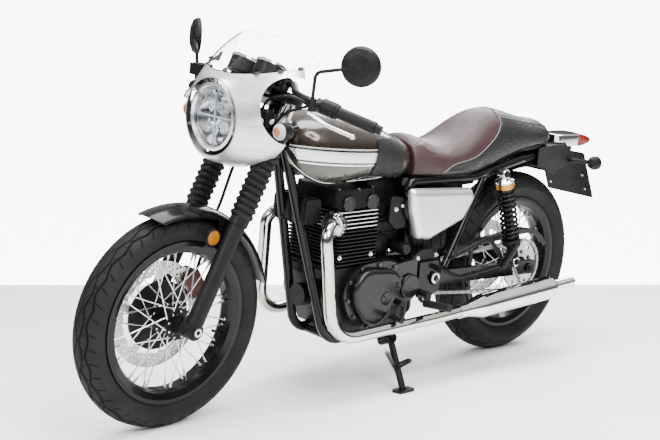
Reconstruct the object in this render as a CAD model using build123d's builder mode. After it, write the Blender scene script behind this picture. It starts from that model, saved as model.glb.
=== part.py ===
from build123d import *

import os
from math import cos, radians, sin, tan

# A cafe racer motorcycle, parked on its side stand. All sizes are in mm.
# It is drawn upright: x forward from the rear axle, y to the left, z up from the floor.
# At the end each piece is leaned onto the stand and the steered pieces are turned a little.

WHEELBASE = 1465
RAKE = 26
TRAIL = 94
LEAN = 6.05
STEER_REST = 3.75
TYRE_DROP = 0.4
FIT = 0.3

FRONT_TYRE_R = 318
FRONT_TYRE_HALF = 50
FRONT_RIM_HALF = 36
REAR_TYRE_R = 332
REAR_TYRE_HALF = 65
REAR_RIM_HALF = 44
FRONT_RIM_R = FRONT_TYRE_R - 77
REAR_RIM_R = REAR_TYRE_R - 91
RIM_SEAT_DROP = 24
RIM_WELL_DROP = 37
RIM_WALL = 6

SPOKE_R = 2
SPOKE_PAIRS = 9
FLANGE_R = 46
AXLE_R = 9

FORK_SPREAD = 100
FORK_TUBE_R = 20.5
SLIDER_R = 25
SLIDER_TOP = 345
GAITER_TOP = 560
CLAMP_LOW = 575
CLAMP_HIGH = 700
CLAMP_THICK = 28
FORK_TOP = 732
STEM_R = 14
HEAD_TUBE_R = 27
BAR_R = 11

TUBE_R = 15
BACKBONE_R = 24

PIVOT_X = 511
PIVOT_Z = 356
ARM_Y = 117

CHAIN_Y = 85
FRONT_SPROCKET_X = 640
FRONT_SPROCKET_Z = 350
FRONT_SPROCKET_R = 40
REAR_SPROCKET_R = 93.6

front_axle = Vector(WHEELBASE, 0, FRONT_TYRE_R)
rear_axle = Vector(0, 0, REAR_TYRE_R)
fork_up = Vector(-sin(radians(RAKE)), 0, cos(radians(RAKE)))
fork_ahead = Vector(cos(radians(RAKE)), 0, sin(radians(RAKE)))
steer_foot = Vector(WHEELBASE + TRAIL, 0, 0)
# How far the steering axis lies behind the fork legs.
FORK_OFFSET = (front_axle - steer_foot).dot(fork_ahead)


def fork_point(ahead, left, up):
    """A point in fork measure: ahead of the legs, to the left, and up from the axle."""
    return front_axle + fork_ahead * ahead + Vector(0, left, 0) + fork_up * up


def fork_plane(ahead, left, up):
    """A sketch plane square to the fork legs, with its x ahead and its y to the left."""
    return Plane(origin=fork_point(ahead, left, up), x_dir=fork_ahead, z_dir=fork_up)


def side_plane(y):
    """A sketch plane seen from the left: its x is forward, its y is up, it extrudes to the left."""
    return Plane(origin=(0, y, 0), x_dir=(-1, 0, 0), z_dir=(0, 1, 0))


def cross_plane(x):
    """A sketch plane square to the bike: its x is to the left and its y is up."""
    return Plane(origin=(x, 0, 0), x_dir=(0, 1, 0), z_dir=(1, 0, 0))


def axle_plane(centre):
    """A section plane through an axle: its x runs along the axle and its y is the radius."""
    return Plane(origin=centre, x_dir=(0, 1, 0), z_dir=(1, 0, 0))


def round_bar(points, bends, radius, mode=Mode.ADD):
    """Sweeps a round bar along straight runs joined by tangent arcs."""
    with BuildLine() as run:
        if len(points) > 2:
            FilletPolyline(*points, radius=bends)
        else:
            Line(*points)
    path = run.line
    with BuildSketch(Plane(origin=path @ 0, z_dir=path % 0)) as section:
        Circle(radius)
    sweep(section.sketch, path=path, mode=mode)


def rod(start, end, radius, mode=Mode.ADD):
    """A straight round rod from one point to another."""
    start = Vector(*start)
    end = Vector(*end)
    with BuildSketch(Plane(origin=start, z_dir=end - start)) as section:
        Circle(radius)
    extrude(section.sketch, amount=(end - start).length, mode=mode)


def turned(plane, axis, points, mode=Mode.ADD, angle=360):
    """Turns a closed outline of straight lines about an axis."""
    with BuildSketch(plane) as section:
        with BuildLine():
            Polyline(*points, close=True)
        make_face()
    revolve(section.sketch, axis=axis, revolution_arc=angle, mode=mode)


def block(low, high, mode=Mode.ADD):
    """A plain block between two corners."""
    middle = [(a + b) / 2 for a, b in zip(low, high)]
    size = [b - a for a, b in zip(low, high)]
    with Locations(tuple(middle)):
        Box(*size, mode=mode)


def side_slab(outline, y_from, y_to, mode=Mode.ADD, corners=0):
    """Extrudes an outline of x, z points across the bike from one y to another."""
    with BuildSketch(side_plane(y_from)) as section:
        with BuildLine():
            Polyline(*[(-x, z) for x, z in outline], close=True)
        make_face()
        if corners:
            fillet(section.vertices(), corners)
    extrude(section.sketch, amount=y_to - y_from, mode=mode)


def side_blob(outline, y_from, y_to):
    """Extrudes a smooth closed curve through x, z points across the bike from one y to another."""
    with BuildSketch(side_plane(y_from)) as section:
        with BuildLine():
            Spline(*[(-x, z) for x, z in outline], periodic=True)
        make_face()
    extrude(section.sketch, amount=y_to - y_from)


def side_disc(x, z, y_from, y_to, radius, mode=Mode.ADD):
    """A round slab across the bike."""
    with BuildSketch(side_plane(y_from)) as section:
        with Locations((-x, z)):
            Circle(radius)
    extrude(section.sketch, amount=y_to - y_from, mode=mode)


def body_section(x, half_low, low, half, middle, half_high, high, top):
    """A closed section of a tank or seat: flat below, arcs at the sides and over the top."""
    with BuildSketch(cross_plane(x)) as section:
        with BuildLine():
            Line((-half_low, low), (half_low, low))
            ThreePointArc((half_low, low), (half, middle), (half_high, high))
            ThreePointArc((half_high, high), (0, top), (-half_high, high))
            ThreePointArc((-half_high, high), (-half, middle), (-half_low, low))
        make_face()
    return section.sketch


# Wheels. Each is a tyre, a rim, spokes and a hub about its axle.

def tyre_ring(centre, radius, half, rim_half, rim_r):
    """A tyre that fills its rim from bead to bead, with a round crown."""
    bead = rim_half - RIM_WALL - FIT
    lip = rim_r + FIT
    seat_r = rim_r - RIM_SEAT_DROP + FIT
    widest = lip + 0.45 * (radius - lip)
    waist = ((bead + half) / 2 + 3, (lip + widest) / 2 - 2)
    with BuildPart() as tyre:
        with BuildSketch(axle_plane(centre)):
            with BuildLine():
                Polyline((-bead, lip), (-bead, seat_r), (bead, seat_r), (bead, lip))
                ThreePointArc((bead, lip), waist, (half, widest))
                ThreePointArc((half, widest), (0, radius), (-half, widest))
                ThreePointArc((-half, widest), (-waist[0], waist[1]), (-bead, lip))
            make_face()
        revolve(axis=Axis(centre, (0, 1, 0)))
    return tyre


def rim_ring(centre, half, rim_r):
    """A drop-centre rim with a raised band for the spoke nipples."""
    inner = half - RIM_WALL
    seat_r = rim_r - RIM_SEAT_DROP
    well_r = rim_r - RIM_WELL_DROP
    outline = [
        (-half, rim_r), (-inner, rim_r), (-inner, seat_r), (inner, seat_r),
        (inner, rim_r), (half, rim_r), (half, rim_r - 12), (half - 8, well_r + 7),
        (16, well_r), (-16, well_r), (8 - half, well_r + 7), (-half, rim_r - 12),
    ]
    with BuildPart() as rim:
        turned(axle_plane(centre), Axis(centre, (0, 1, 0)), outline)
    return rim


def spoke_set(centre, flange_y, wheel_rim_r):
    """Spokes laced from two flanges to the rim, heads in the flange and nipples in the rim."""
    with BuildPart() as spokes:
        for side in (1, -1):
            for pair in range(SPOKE_PAIRS):
                for lace in (1, -1):
                    start = radians(360 * (pair + 0.25 * side) / SPOKE_PAIRS + 4 * lace)
                    end = start + radians(54 * lace)
                    y_hub = side * (flange_y + 3 * lace)
                    y_rim = side * (6 + 3 * lace)
                    hub_r = FLANGE_R - 7
                    rim_r = wheel_rim_r - RIM_WELL_DROP + 3
                    low = centre + Vector(hub_r * cos(start), y_hub, hub_r * sin(start))
                    high = centre + Vector(rim_r * cos(end), y_rim, rim_r * sin(end))
                    rod(low, high, SPOKE_R)
    return spokes


front_tyre = tyre_ring(front_axle, FRONT_TYRE_R, FRONT_TYRE_HALF, FRONT_RIM_HALF, FRONT_RIM_R)
front_tyre.part.label = "front_tyre"
rear_tyre = tyre_ring(rear_axle, REAR_TYRE_R, REAR_TYRE_HALF, REAR_RIM_HALF, REAR_RIM_R)
rear_tyre.part.label = "rear_tyre"
front_rim = rim_ring(front_axle, FRONT_RIM_HALF, FRONT_RIM_R)
front_rim.part.label = "front_rim"
rear_rim = rim_ring(rear_axle, REAR_RIM_HALF, REAR_RIM_R)
rear_rim.part.label = "rear_rim"

FRONT_FLANGE_Y = 37
REAR_FLANGE_Y = 42
front_spokes = spoke_set(front_axle, FRONT_FLANGE_Y, FRONT_RIM_R)
front_spokes.part.label = "front_spokes"
rear_spokes = spoke_set(rear_axle, REAR_FLANGE_Y, REAR_RIM_R)
rear_spokes.part.label = "rear_spokes"

DISC_THICK = 5
FRONT_DISC_Y = -62
FRONT_DISC_R = 160
REAR_DISC_Y = -78
REAR_DISC_R = 135
DISC_LUGS = 5

with BuildPart() as front_hub:
    hole = AXLE_R + FIT
    turned(axle_plane(front_axle), Axis(front_axle, (0, 1, 0)), [
        (62, hole), (62, 22), (FRONT_FLANGE_Y + 6, 26), (FRONT_FLANGE_Y + 6, FLANGE_R),
        (FRONT_FLANGE_Y - 6, FLANGE_R), (FRONT_FLANGE_Y - 10, 25), (10 - FRONT_FLANGE_Y, 25),
        (6 - FRONT_FLANGE_Y, FLANGE_R), (-6 - FRONT_FLANGE_Y, FLANGE_R), (-50, 60),
        (FRONT_DISC_Y + 7, 104), (FRONT_DISC_Y, 104), (FRONT_DISC_Y, 84), (-56, 50), (-62, 30), (-62, hole),
    ])
front_hub.part.label = "front_hub"

with BuildPart() as rear_hub:
    turned(axle_plane(rear_axle), Axis(rear_axle, (0, 1, 0)), [
        (92, hole), (92, 24), (80, 28), (80, 64), (72, 66), (60, 50), (REAR_FLANGE_Y + 6, FLANGE_R),
        (REAR_FLANGE_Y - 6, FLANGE_R), (REAR_FLANGE_Y - 10, 34), (10 - REAR_FLANGE_Y, 34),
        (6 - REAR_FLANGE_Y, FLANGE_R), (-6 - REAR_FLANGE_Y, FLANGE_R), (-60, 44),
        (REAR_DISC_Y + 8, 62), (REAR_DISC_Y, 62), (REAR_DISC_Y, 44), (-92, 24), (-92, hole),
    ])
rear_hub.part.label = "rear_hub"


def brake_disc(centre, y, outer, inner, lug_r):
    """A brake ring with lugs that reach in to its carrier, on the right of the wheel."""
    with BuildPart() as disc:
        with BuildSketch(Plane(origin=centre + Vector(0, y, 0), x_dir=(1, 0, 0), z_dir=(0, -1, 0))):
            Circle(outer)
            Circle(inner, mode=Mode.SUBTRACT)
            with PolarLocations((inner + lug_r) / 2, DISC_LUGS, start_angle=18):
                Rectangle(inner - lug_r + 8, 22)
        extrude(amount=DISC_THICK)
    return disc


front_disc = brake_disc(front_axle, FRONT_DISC_Y, FRONT_DISC_R, 121, 90)
front_disc.part.label = "front_disc"
rear_disc = brake_disc(rear_axle, REAR_DISC_Y, REAR_DISC_R, 98, 50)
rear_disc.part.label = "rear_disc"

SPROCKET_TIP_R = REAR_SPROCKET_R - 7.6
with BuildPart() as rear_sprocket:
    with BuildSketch(side_plane(80)):
        with Locations((-rear_axle.X, rear_axle.Z)):
            Circle(SPROCKET_TIP_R)
            Circle(32, mode=Mode.SUBTRACT)
            with PolarLocations(70, 6):
                Circle(8, mode=Mode.SUBTRACT)
    extrude(amount=8)
rear_sprocket.part.label = "rear_sprocket"

# The fork and all that steers with it.

AXLE_END = 129.4
with BuildPart() as front_axle_bar:
    turned(axle_plane(front_axle), Axis(front_axle, (0, 1, 0)), [
        (AXLE_END, 5), (AXLE_END, 14), (AXLE_END - 4, 14), (AXLE_END - 4, AXLE_R), (73.6, AXLE_R), (73.6, 15),
        (62.4, 15), (62.4, AXLE_R), (-62.4, AXLE_R), (-62.4, 15), (-73.6, 15), (-73.6, AXLE_R),
        (4 - AXLE_END, AXLE_R), (4 - AXLE_END, 13), (-AXLE_END, 13), (-AXLE_END, 5),
    ])
front_axle_bar.part.label = "front_axle"

with BuildPart() as fork_sliders:
    for side in (1, -1):
        left = side * FORK_SPREAD
        rod(fork_point(0, left, -20), fork_point(0, left, SLIDER_TOP), SLIDER_R)
        rod(fork_point(0, left, SLIDER_TOP - 22), fork_point(0, left, SLIDER_TOP), SLIDER_R + 4)
        rod((WHEELBASE, side * 74, FRONT_TYRE_R), (WHEELBASE, side * 118, FRONT_TYRE_R), 27)
        rod((WHEELBASE, side * 70, FRONT_TYRE_R), (WHEELBASE, side * 128, FRONT_TYRE_R), AXLE_R + 0.1,
            mode=Mode.SUBTRACT)
fork_sliders.part.label = "fork_sliders"

with BuildPart() as fork_tubes:
    for side in (1, -1):
        rod(fork_point(0, side * FORK_SPREAD, SLIDER_TOP), fork_point(0, side * FORK_SPREAD, FORK_TOP), FORK_TUBE_R)
fork_tubes.part.label = "fork_tubes"

GAITER_RIBS = 11
GAITER_RIB_R = 35
GAITER_VALLEY_R = 29
gaiter_pitch = (GAITER_TOP - SLIDER_TOP - 1) / GAITER_RIBS
with BuildPart() as fork_gaiters:
    gaiter_outline = [(FORK_TUBE_R + FIT, SLIDER_TOP + 0.5)]
    for rib in range(GAITER_RIBS):
        foot = SLIDER_TOP + 0.5 + rib * gaiter_pitch
        gaiter_outline += [(GAITER_VALLEY_R, foot), (GAITER_RIB_R, foot + 0.4 * gaiter_pitch)]
        gaiter_outline += [(GAITER_RIB_R, foot + 0.65 * gaiter_pitch)]
    gaiter_outline += [(GAITER_VALLEY_R, GAITER_TOP - 0.5), (FORK_TUBE_R + FIT, GAITER_TOP - 0.5)]
    for side in (1, -1):
        base = fork_point(0, side * FORK_SPREAD, 0)
        gaiter_plane = Plane(origin=base, x_dir=(0, 1, 0), z_dir=fork_ahead)
        turned(gaiter_plane, Axis(base, fork_up), gaiter_outline)
fork_gaiters.part.label = "fork_gaiters"


def clamp_plate(up):
    """One fork clamp: a plate about both legs and the steering stem."""
    with BuildSketch(fork_plane(0, 0, up)) as plate:
        with BuildLine():
            Polyline((34, FORK_SPREAD), (34, -FORK_SPREAD), (-20, -FORK_SPREAD - 10), (-FORK_OFFSET - 26, -14),
                     (-FORK_OFFSET - 26, 14), (-20, FORK_SPREAD + 10), close=True)
        make_face()
        with Locations((0, FORK_SPREAD), (0, -FORK_SPREAD)):
            Circle(34)
        with Locations((0, FORK_SPREAD), (0, -FORK_SPREAD)):
            Circle(FORK_TUBE_R + 0.15, mode=Mode.SUBTRACT)
        with Locations((12, 45), (12, -45)):
            Circle(20, mode=Mode.SUBTRACT)
    extrude(plate.sketch, amount=CLAMP_THICK)


with BuildPart() as lower_clamp:
    clamp_plate(CLAMP_LOW)
    rod(fork_point(-FORK_OFFSET, 0, CLAMP_LOW), fork_point(-FORK_OFFSET, 0, FORK_TOP + 2), STEM_R)
lower_clamp.part.label = "lower_clamp"

BAR_UP = 764
bar_middle = fork_point(-4, 0, BAR_UP)
RISER_Y = 42
with BuildPart() as upper_clamp:
    clamp_plate(CLAMP_HIGH)
    rod(fork_point(-FORK_OFFSET, 0, CLAMP_HIGH - 1), fork_point(-FORK_OFFSET, 0, FORK_TOP + 10), 20)
    rod(fork_point(-FORK_OFFSET, 0, CLAMP_HIGH - 2), fork_point(-FORK_OFFSET, 0, FORK_TOP + 2.3), STEM_R + 0.15,
        mode=Mode.SUBTRACT)
    for side in (1, -1):
        rod(fork_point(-4, side * RISER_Y, CLAMP_HIGH + CLAMP_THICK), fork_point(-4, side * RISER_Y, BAR_UP + 16), 17)
        rod(bar_middle + Vector(0, side * 22, 0), bar_middle + Vector(0, side * 62, 0), BAR_R + 0.15,
            mode=Mode.SUBTRACT)
upper_clamp.part.label = "upper_clamp"

# The handlebar runs forward from its clamps, then back and down to the grips.
bar_knee = Vector(1208, 176, 991)
bar_end = Vector(1112, 394, 931)
grip_way = (bar_end - bar_knee).normalized()
GRIP_LENGTH = 118
GRIP_R = 17
with BuildPart() as handlebar:
    inner = bar_middle + Vector(0, 78, 0)
    round_bar([bar_end, bar_knee, inner, Vector(inner.X, -inner.Y, inner.Z),
               Vector(bar_knee.X, -bar_knee.Y, bar_knee.Z), Vector(bar_end.X, -bar_end.Y, bar_end.Z)],
              [42, 36, 36, 42], BAR_R)
handlebar.part.label = "handlebar"

with BuildPart() as grips:
    grip_start = bar_end - grip_way * GRIP_LENGTH
    rod(grip_start, bar_end + grip_way * 4, GRIP_R)
    rod(bar_end + grip_way * 4, bar_end + grip_way * 22, 13)
    rod(grip_start, grip_start + grip_way * 6, GRIP_R + 4)
    rod(grip_start - grip_way, bar_end + grip_way * 0.3, BAR_R + 0.15, mode=Mode.SUBTRACT)
    mirror(about=Plane.XZ)
grips.part.label = "grips"

SWITCH_LENGTH = 42
switch_end = bar_end - grip_way * (GRIP_LENGTH + 1)
switch_start = switch_end - grip_way * SWITCH_LENGTH
perch = switch_start + Vector(42, -4, 0)
with BuildPart() as switchgear:
    rod(switch_start, switch_end, 23)
    rod(switch_start - grip_way * 18, switch_start, 18)
    rod(switch_start + Vector(6, 0, 2), perch, 13)
    rod(perch - Vector(4, 0, 12), perch + Vector(0, 4, 22), 11)
    rod(switch_start - grip_way * 20, switch_end + grip_way * 2, BAR_R + 0.15, mode=Mode.SUBTRACT)
    mirror(about=Plane.XZ)
    cup = Vector(perch.X + 26, 42 - perch.Y, perch.Z + 40)
    with Locations(cup):
        Box(44, 54, 34)
    rod((perch.X + 2, -perch.Y, perch.Z + 6), cup - Vector(4, 10, 8), 9)
switchgear.part.label = "switchgear"

lever_root = perch + Vector(8, 0, -19)
lever_tip = Vector(1165, 366, 903)
with BuildPart() as levers:
    round_bar([lever_root, Vector(1209, 306, 926), lever_tip], 60, 6)
    with Locations(lever_tip):
        Sphere(8)
    mirror(about=Plane.XZ)
levers.part.label = "levers"

MIRROR_R = 55
mirror_middle = Vector(1149, 356, 1093)
mirror_way = Vector(cos(radians(30)), sin(radians(30)), 0)
with BuildPart() as mirrors:
    turned(Plane(origin=mirror_middle, x_dir=(0, 0, 1), z_dir=(-mirror_way.Y, mirror_way.X, 0)),
           Axis(mirror_middle, mirror_way),
           [(0, -9), (MIRROR_R, -9), (MIRROR_R, 0), (MIRROR_R - 5, 8), (MIRROR_R - 22, 15), (0, 18)])
    stem_foot = perch + Vector(0.1, 4.1, 22.8)
    round_bar([stem_foot, Vector(stem_foot.X + 4, stem_foot.Y + 8, 1066), Vector(1165, 345, 1088),
               mirror_middle + mirror_way * 12], [22, 8], 5)
    mirror(about=Plane.XZ)
mirrors.part.label = "mirrors"

# The nose: headlamp, fairing and screen. The screen carries on the fairing's own surface.
LAMP_Z = 906
LAMP_FACE = 1362
LAMP_R = 97
STAY_UP = 642
with BuildPart() as headlamp:
    lamp_axis = Axis((0, 0, LAMP_Z), (1, 0, 0))
    turned(Plane(origin=(0, 0, LAMP_Z), x_dir=(1, 0, 0), z_dir=(0, -1, 0)), lamp_axis, [
        (LAMP_FACE - 118, 0), (LAMP_FACE - 118, 40), (LAMP_FACE - 90, 74), (LAMP_FACE - 22, 90),
        (LAMP_FACE - 14, LAMP_R), (LAMP_FACE, LAMP_R), (LAMP_FACE + 3, LAMP_R - 8), (LAMP_FACE - 4, LAMP_R - 13),
        (LAMP_FACE - 20, LAMP_R - 16), (LAMP_FACE - 60, 40), (LAMP_FACE - 60, 0),
    ])
    for side in (1, -1):
        rod((LAMP_FACE - 92, side * 60, LAMP_Z), (1196, side * 92, LAMP_Z - 10), 11)
        rod(fork_point(0, side * FORK_SPREAD, STAY_UP - 16), fork_point(0, side * FORK_SPREAD, STAY_UP + 16), 28)
        rod(fork_point(0, side * FORK_SPREAD, STAY_UP - 20), fork_point(0, side * FORK_SPREAD, STAY_UP + 20),
            FORK_TUBE_R + 0.15, mode=Mode.SUBTRACT)
headlamp.part.label = "headlamp"

with BuildPart() as headlamp_lens:
    turned(Plane(origin=(0, 0, LAMP_Z), x_dir=(1, 0, 0), z_dir=(0, -1, 0)), lamp_axis, [
        (LAMP_FACE - 7.7, 0), (LAMP_FACE - 9.7, LAMP_R - 14.2), (LAMP_FACE - 4.2, LAMP_R - 13.4),
        (LAMP_FACE + 4, 60), (LAMP_FACE + 8, 0),
    ])
headlamp_lens.part.label = "headlamp_lens"

# Sections of the nose, front to back: x, half width, lowest z, highest z, widest z, corner fullness.
NOSE = [
    dict(x=1366, half=113, low=793, high=1019, widest=906, full=0.71),
    dict(x=1340, half=138, low=776, high=1030, widest=905, full=0.74),
    dict(x=1262, half=183, low=776, high=1090, widest=920, full=0.78),
    dict(x=1180, half=196, low=790, high=1146, widest=950, full=0.78),
    dict(x=1110, half=200, low=800, high=1176, widest=970, full=0.78),
]
SHELL = 4


def nose_body(inset):
    """The whole nose as one solid, drawn in by an inset."""
    with BuildPart() as solid:
        for row in NOSE:
            half = row["half"] - inset
            low = row["low"] + inset
            high = row["high"] - inset
            mid = row["widest"]
            side_y = row["full"] * half
            up_z = mid + row["full"] * (high - mid)
            down_z = mid - row["full"] * (mid - low)
            with BuildSketch(cross_plane(row["x"])):
                with BuildLine():
                    ThreePointArc((half, mid), (side_y, up_z), (0, high))
                    ThreePointArc((0, high), (-side_y, up_z), (-half, mid))
                    ThreePointArc((-half, mid), (-side_y, down_z), (0, low))
                    ThreePointArc((0, low), (side_y, down_z), (half, mid))
                make_face()
        loft()
    return solid.part


SCREEN_BASE_X = 1322
SCREEN_BASE_Z = 1036
SCREEN_SLOPE = 0.215


def screen_line(x):
    """The height of the join between fairing and screen."""
    return SCREEN_BASE_Z + SCREEN_SLOPE * (SCREEN_BASE_X - x)


nose_outer = nose_body(0)
nose_inner = nose_body(SHELL)
nose_glass = nose_body(1)
NOTCH_X = 1222
NOTCH_Z = 945
NOTCH_R = 96
with BuildPart() as lamp_pins:
    for turn in (90, 200, 340):
        out = Vector(0, cos(radians(turn)), sin(radians(turn)))
        hub_spot = Vector(LAMP_FACE - 9, 0, LAMP_Z)
        rod(hub_spot + out * (LAMP_R + FIT), hub_spot + out * 140, 6)
    add(nose_outer, mode=Mode.INTERSECT)
with BuildPart() as fairing:
    add(nose_outer)
    add(nose_inner, mode=Mode.SUBTRACT)
    # Cut the top off along the screen's base, and the back along the tail line.
    side_slab([(1420, screen_line(1420)), (1420, 1300), (1000, 1300), (1000, screen_line(1000))], -260, 260,
              mode=Mode.SUBTRACT)
    side_slab([(1262, 700), (1000, 700), (1000, 1300), (1160, 1300), (1186, 1068)], -260, 260, mode=Mode.SUBTRACT)
    side_disc(NOTCH_X, NOTCH_Z, -260, 260, NOTCH_R, mode=Mode.SUBTRACT)
    for side in (1, -1):
        rod(fork_point(0, side * FORK_SPREAD, 460), fork_point(0, side * FORK_SPREAD, 690), 44, mode=Mode.SUBTRACT)
    with BuildSketch(cross_plane(1400)):
        with Locations((0, LAMP_Z)):
            Circle(LAMP_R + 2)
    extrude(amount=-80, mode=Mode.SUBTRACT)
    add(lamp_pins.part)
fairing.part.label = "fairing"

with BuildPart() as windscreen:
    add(nose_glass)
    add(nose_inner, mode=Mode.SUBTRACT)
    side_slab([(1420, screen_line(1420) + FIT), (1420, 600), (1000, 600), (1000, screen_line(1000) + FIT)],
              -260, 260, mode=Mode.SUBTRACT)
    side_slab([(1098, 1036), (1198, 1149), (1198, 1300), (1000, 1300), (1000, 1036)], -260, 260, mode=Mode.SUBTRACT)
windscreen.part.label = "windscreen"

with BuildPart() as front_indicators:
    round_bar([fork_point(0, FORK_SPREAD + 28.4, STAY_UP), fork_point(0, 168, STAY_UP), (1262, 196, 893)], 16, 8)
    turned(Plane(origin=(1262, 200, 893), x_dir=(1, 0, 0), z_dir=(0, -1, 0)), Axis((1262, 200, 893), (1, 0, 0)),
           [(-26, 0), (-20, 17), (-4, 25), (14, 25), (20, 18), (23, 0)])
    mirror(about=Plane.XZ)
front_indicators.part.label = "front_indicators"

DIAL_UP = 738
DIAL_AHEAD = 84
with BuildPart() as instruments:
    for side in (1, -1):
        dial = fork_point(DIAL_AHEAD, side * 54, DIAL_UP)
        rod(dial, dial + fork_up * 46, 45)
        rod(dial - fork_up * 34, dial, 30)
    with BuildSketch(fork_plane(62, 0, CLAMP_HIGH + CLAMP_THICK + FIT)):
        Rectangle(84, 120)
    extrude(amount=12)
instruments.part.label = "instruments"

# Front fender: an arched sheet about the wheel, with stays to the fork legs.
FENDER_GAP = 28
FENDER_R = FRONT_TYRE_R + FENDER_GAP
FENDER_HALF = 62
FENDER_THICK = 3
REFLECTOR_R = 24
REFLECTOR_AHEAD = 50
REFLECTOR_UP = FENDER_R - 84
with BuildPart() as front_fender:
    fender_from = 70
    fender_to = 168
    way = Vector(cos(radians(fender_from)), 0, sin(radians(fender_from)))
    with BuildSketch(Plane(origin=front_axle, x_dir=(0, 1, 0), z_dir=way.cross(Vector(0, 1, 0)) * -1)) as arch:
        with BuildLine():
            ThreePointArc((-FENDER_HALF, FENDER_R - 30), (0, FENDER_R), (FENDER_HALF, FENDER_R - 30))
            Line((FENDER_HALF, FENDER_R - 30), (FENDER_HALF - FENDER_THICK, FENDER_R - 31))
            ThreePointArc((FENDER_HALF - FENDER_THICK, FENDER_R - 31), (0, FENDER_R - FENDER_THICK),
                          (FENDER_THICK - FENDER_HALF, FENDER_R - 31))
            Line((FENDER_THICK - FENDER_HALF, FENDER_R - 31), (-FENDER_HALF, FENDER_R - 30))
        make_face()
    revolve(arch.sketch, axis=Axis(front_axle, (0, -1, 0)), revolution_arc=fender_to - fender_from)
    # The front edge is rounded off to a tip.
    ahead = Vector(sin(radians(fender_from)), 0, -cos(radians(fender_from)))
    with BuildSketch(Plane(origin=front_axle + way * (FENDER_R - 96), x_dir=ahead, z_dir=way)) as tip:
        with Locations((20, 0)):
            Rectangle(130, 160)
        with Locations((-45, 0)):
            Ellipse(45, FENDER_HALF + 2, mode=Mode.SUBTRACT)
    extrude(tip.sketch, amount=150, mode=Mode.SUBTRACT)
    for side in (1, -1):
        with BuildSketch(fork_plane(0, side * 71.6, FENDER_R - 108)) as stay:
            Rectangle(64, 6.2)
        extrude(stay.sketch, amount=84)
        with BuildSketch(fork_plane(REFLECTOR_AHEAD / 2, side * 71.6, REFLECTOR_UP - 22)) as wing:
            Rectangle(REFLECTOR_AHEAD + 16, 6.2)
        extrude(wing.sketch, amount=44)
        with BuildSketch(fork_plane(0, side * 67, FENDER_R - 46)) as tab:
            Rectangle(64, 14)
        extrude(tab.sketch, amount=22)
front_fender.part.label = "front_fender"

# The front caliper sits behind the right leg, about the disc.
with BuildPart() as front_caliper:
    with BuildSketch(Plane(origin=front_axle + Vector(0, -44, 0), x_dir=(1, 0, 0), z_dir=(0, -1, 0))):
        with PolarLocations(147, 1, start_angle=149):
            RectangleRounded(58, 86, 12)
    extrude(amount=57)
    with BuildSketch(Plane(origin=front_axle + Vector(0, FRONT_DISC_Y + 4, 0), x_dir=(1, 0, 0), z_dir=(0, -1, 0))):
        Circle(FRONT_DISC_R + 5)
    extrude(amount=DISC_THICK + 8, mode=Mode.SUBTRACT)
    rod(fork_point(-60, -86, 150), fork_point(-SLIDER_R - FIT, -86, 150), 10)
    rod(fork_point(-60, -86, 95), fork_point(-SLIDER_R - FIT, -86, 95), 10)
front_caliper.part.label = "front_caliper"

with BuildPart() as front_brake_hose:
    round_bar([fork_point(-20, -40, CLAMP_LOW - 0.7), fork_point(-26, -44, 470), fork_point(-58, -68.5, 384),
               fork_point(-60, -68.5, 300), fork_point(-95.6, -84.4, 153)], [60, 50, 60], 5)
front_brake_hose.part.label = "front_brake_hose"

with BuildPart() as reflectors:
    for side in (1, -1):
        disc_back = fork_point(REFLECTOR_AHEAD, side * 75, REFLECTOR_UP)
        rod(disc_back, disc_back + Vector(0, side * 10, 0), REFLECTOR_R)
reflectors.part.label = "reflectors"

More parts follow.
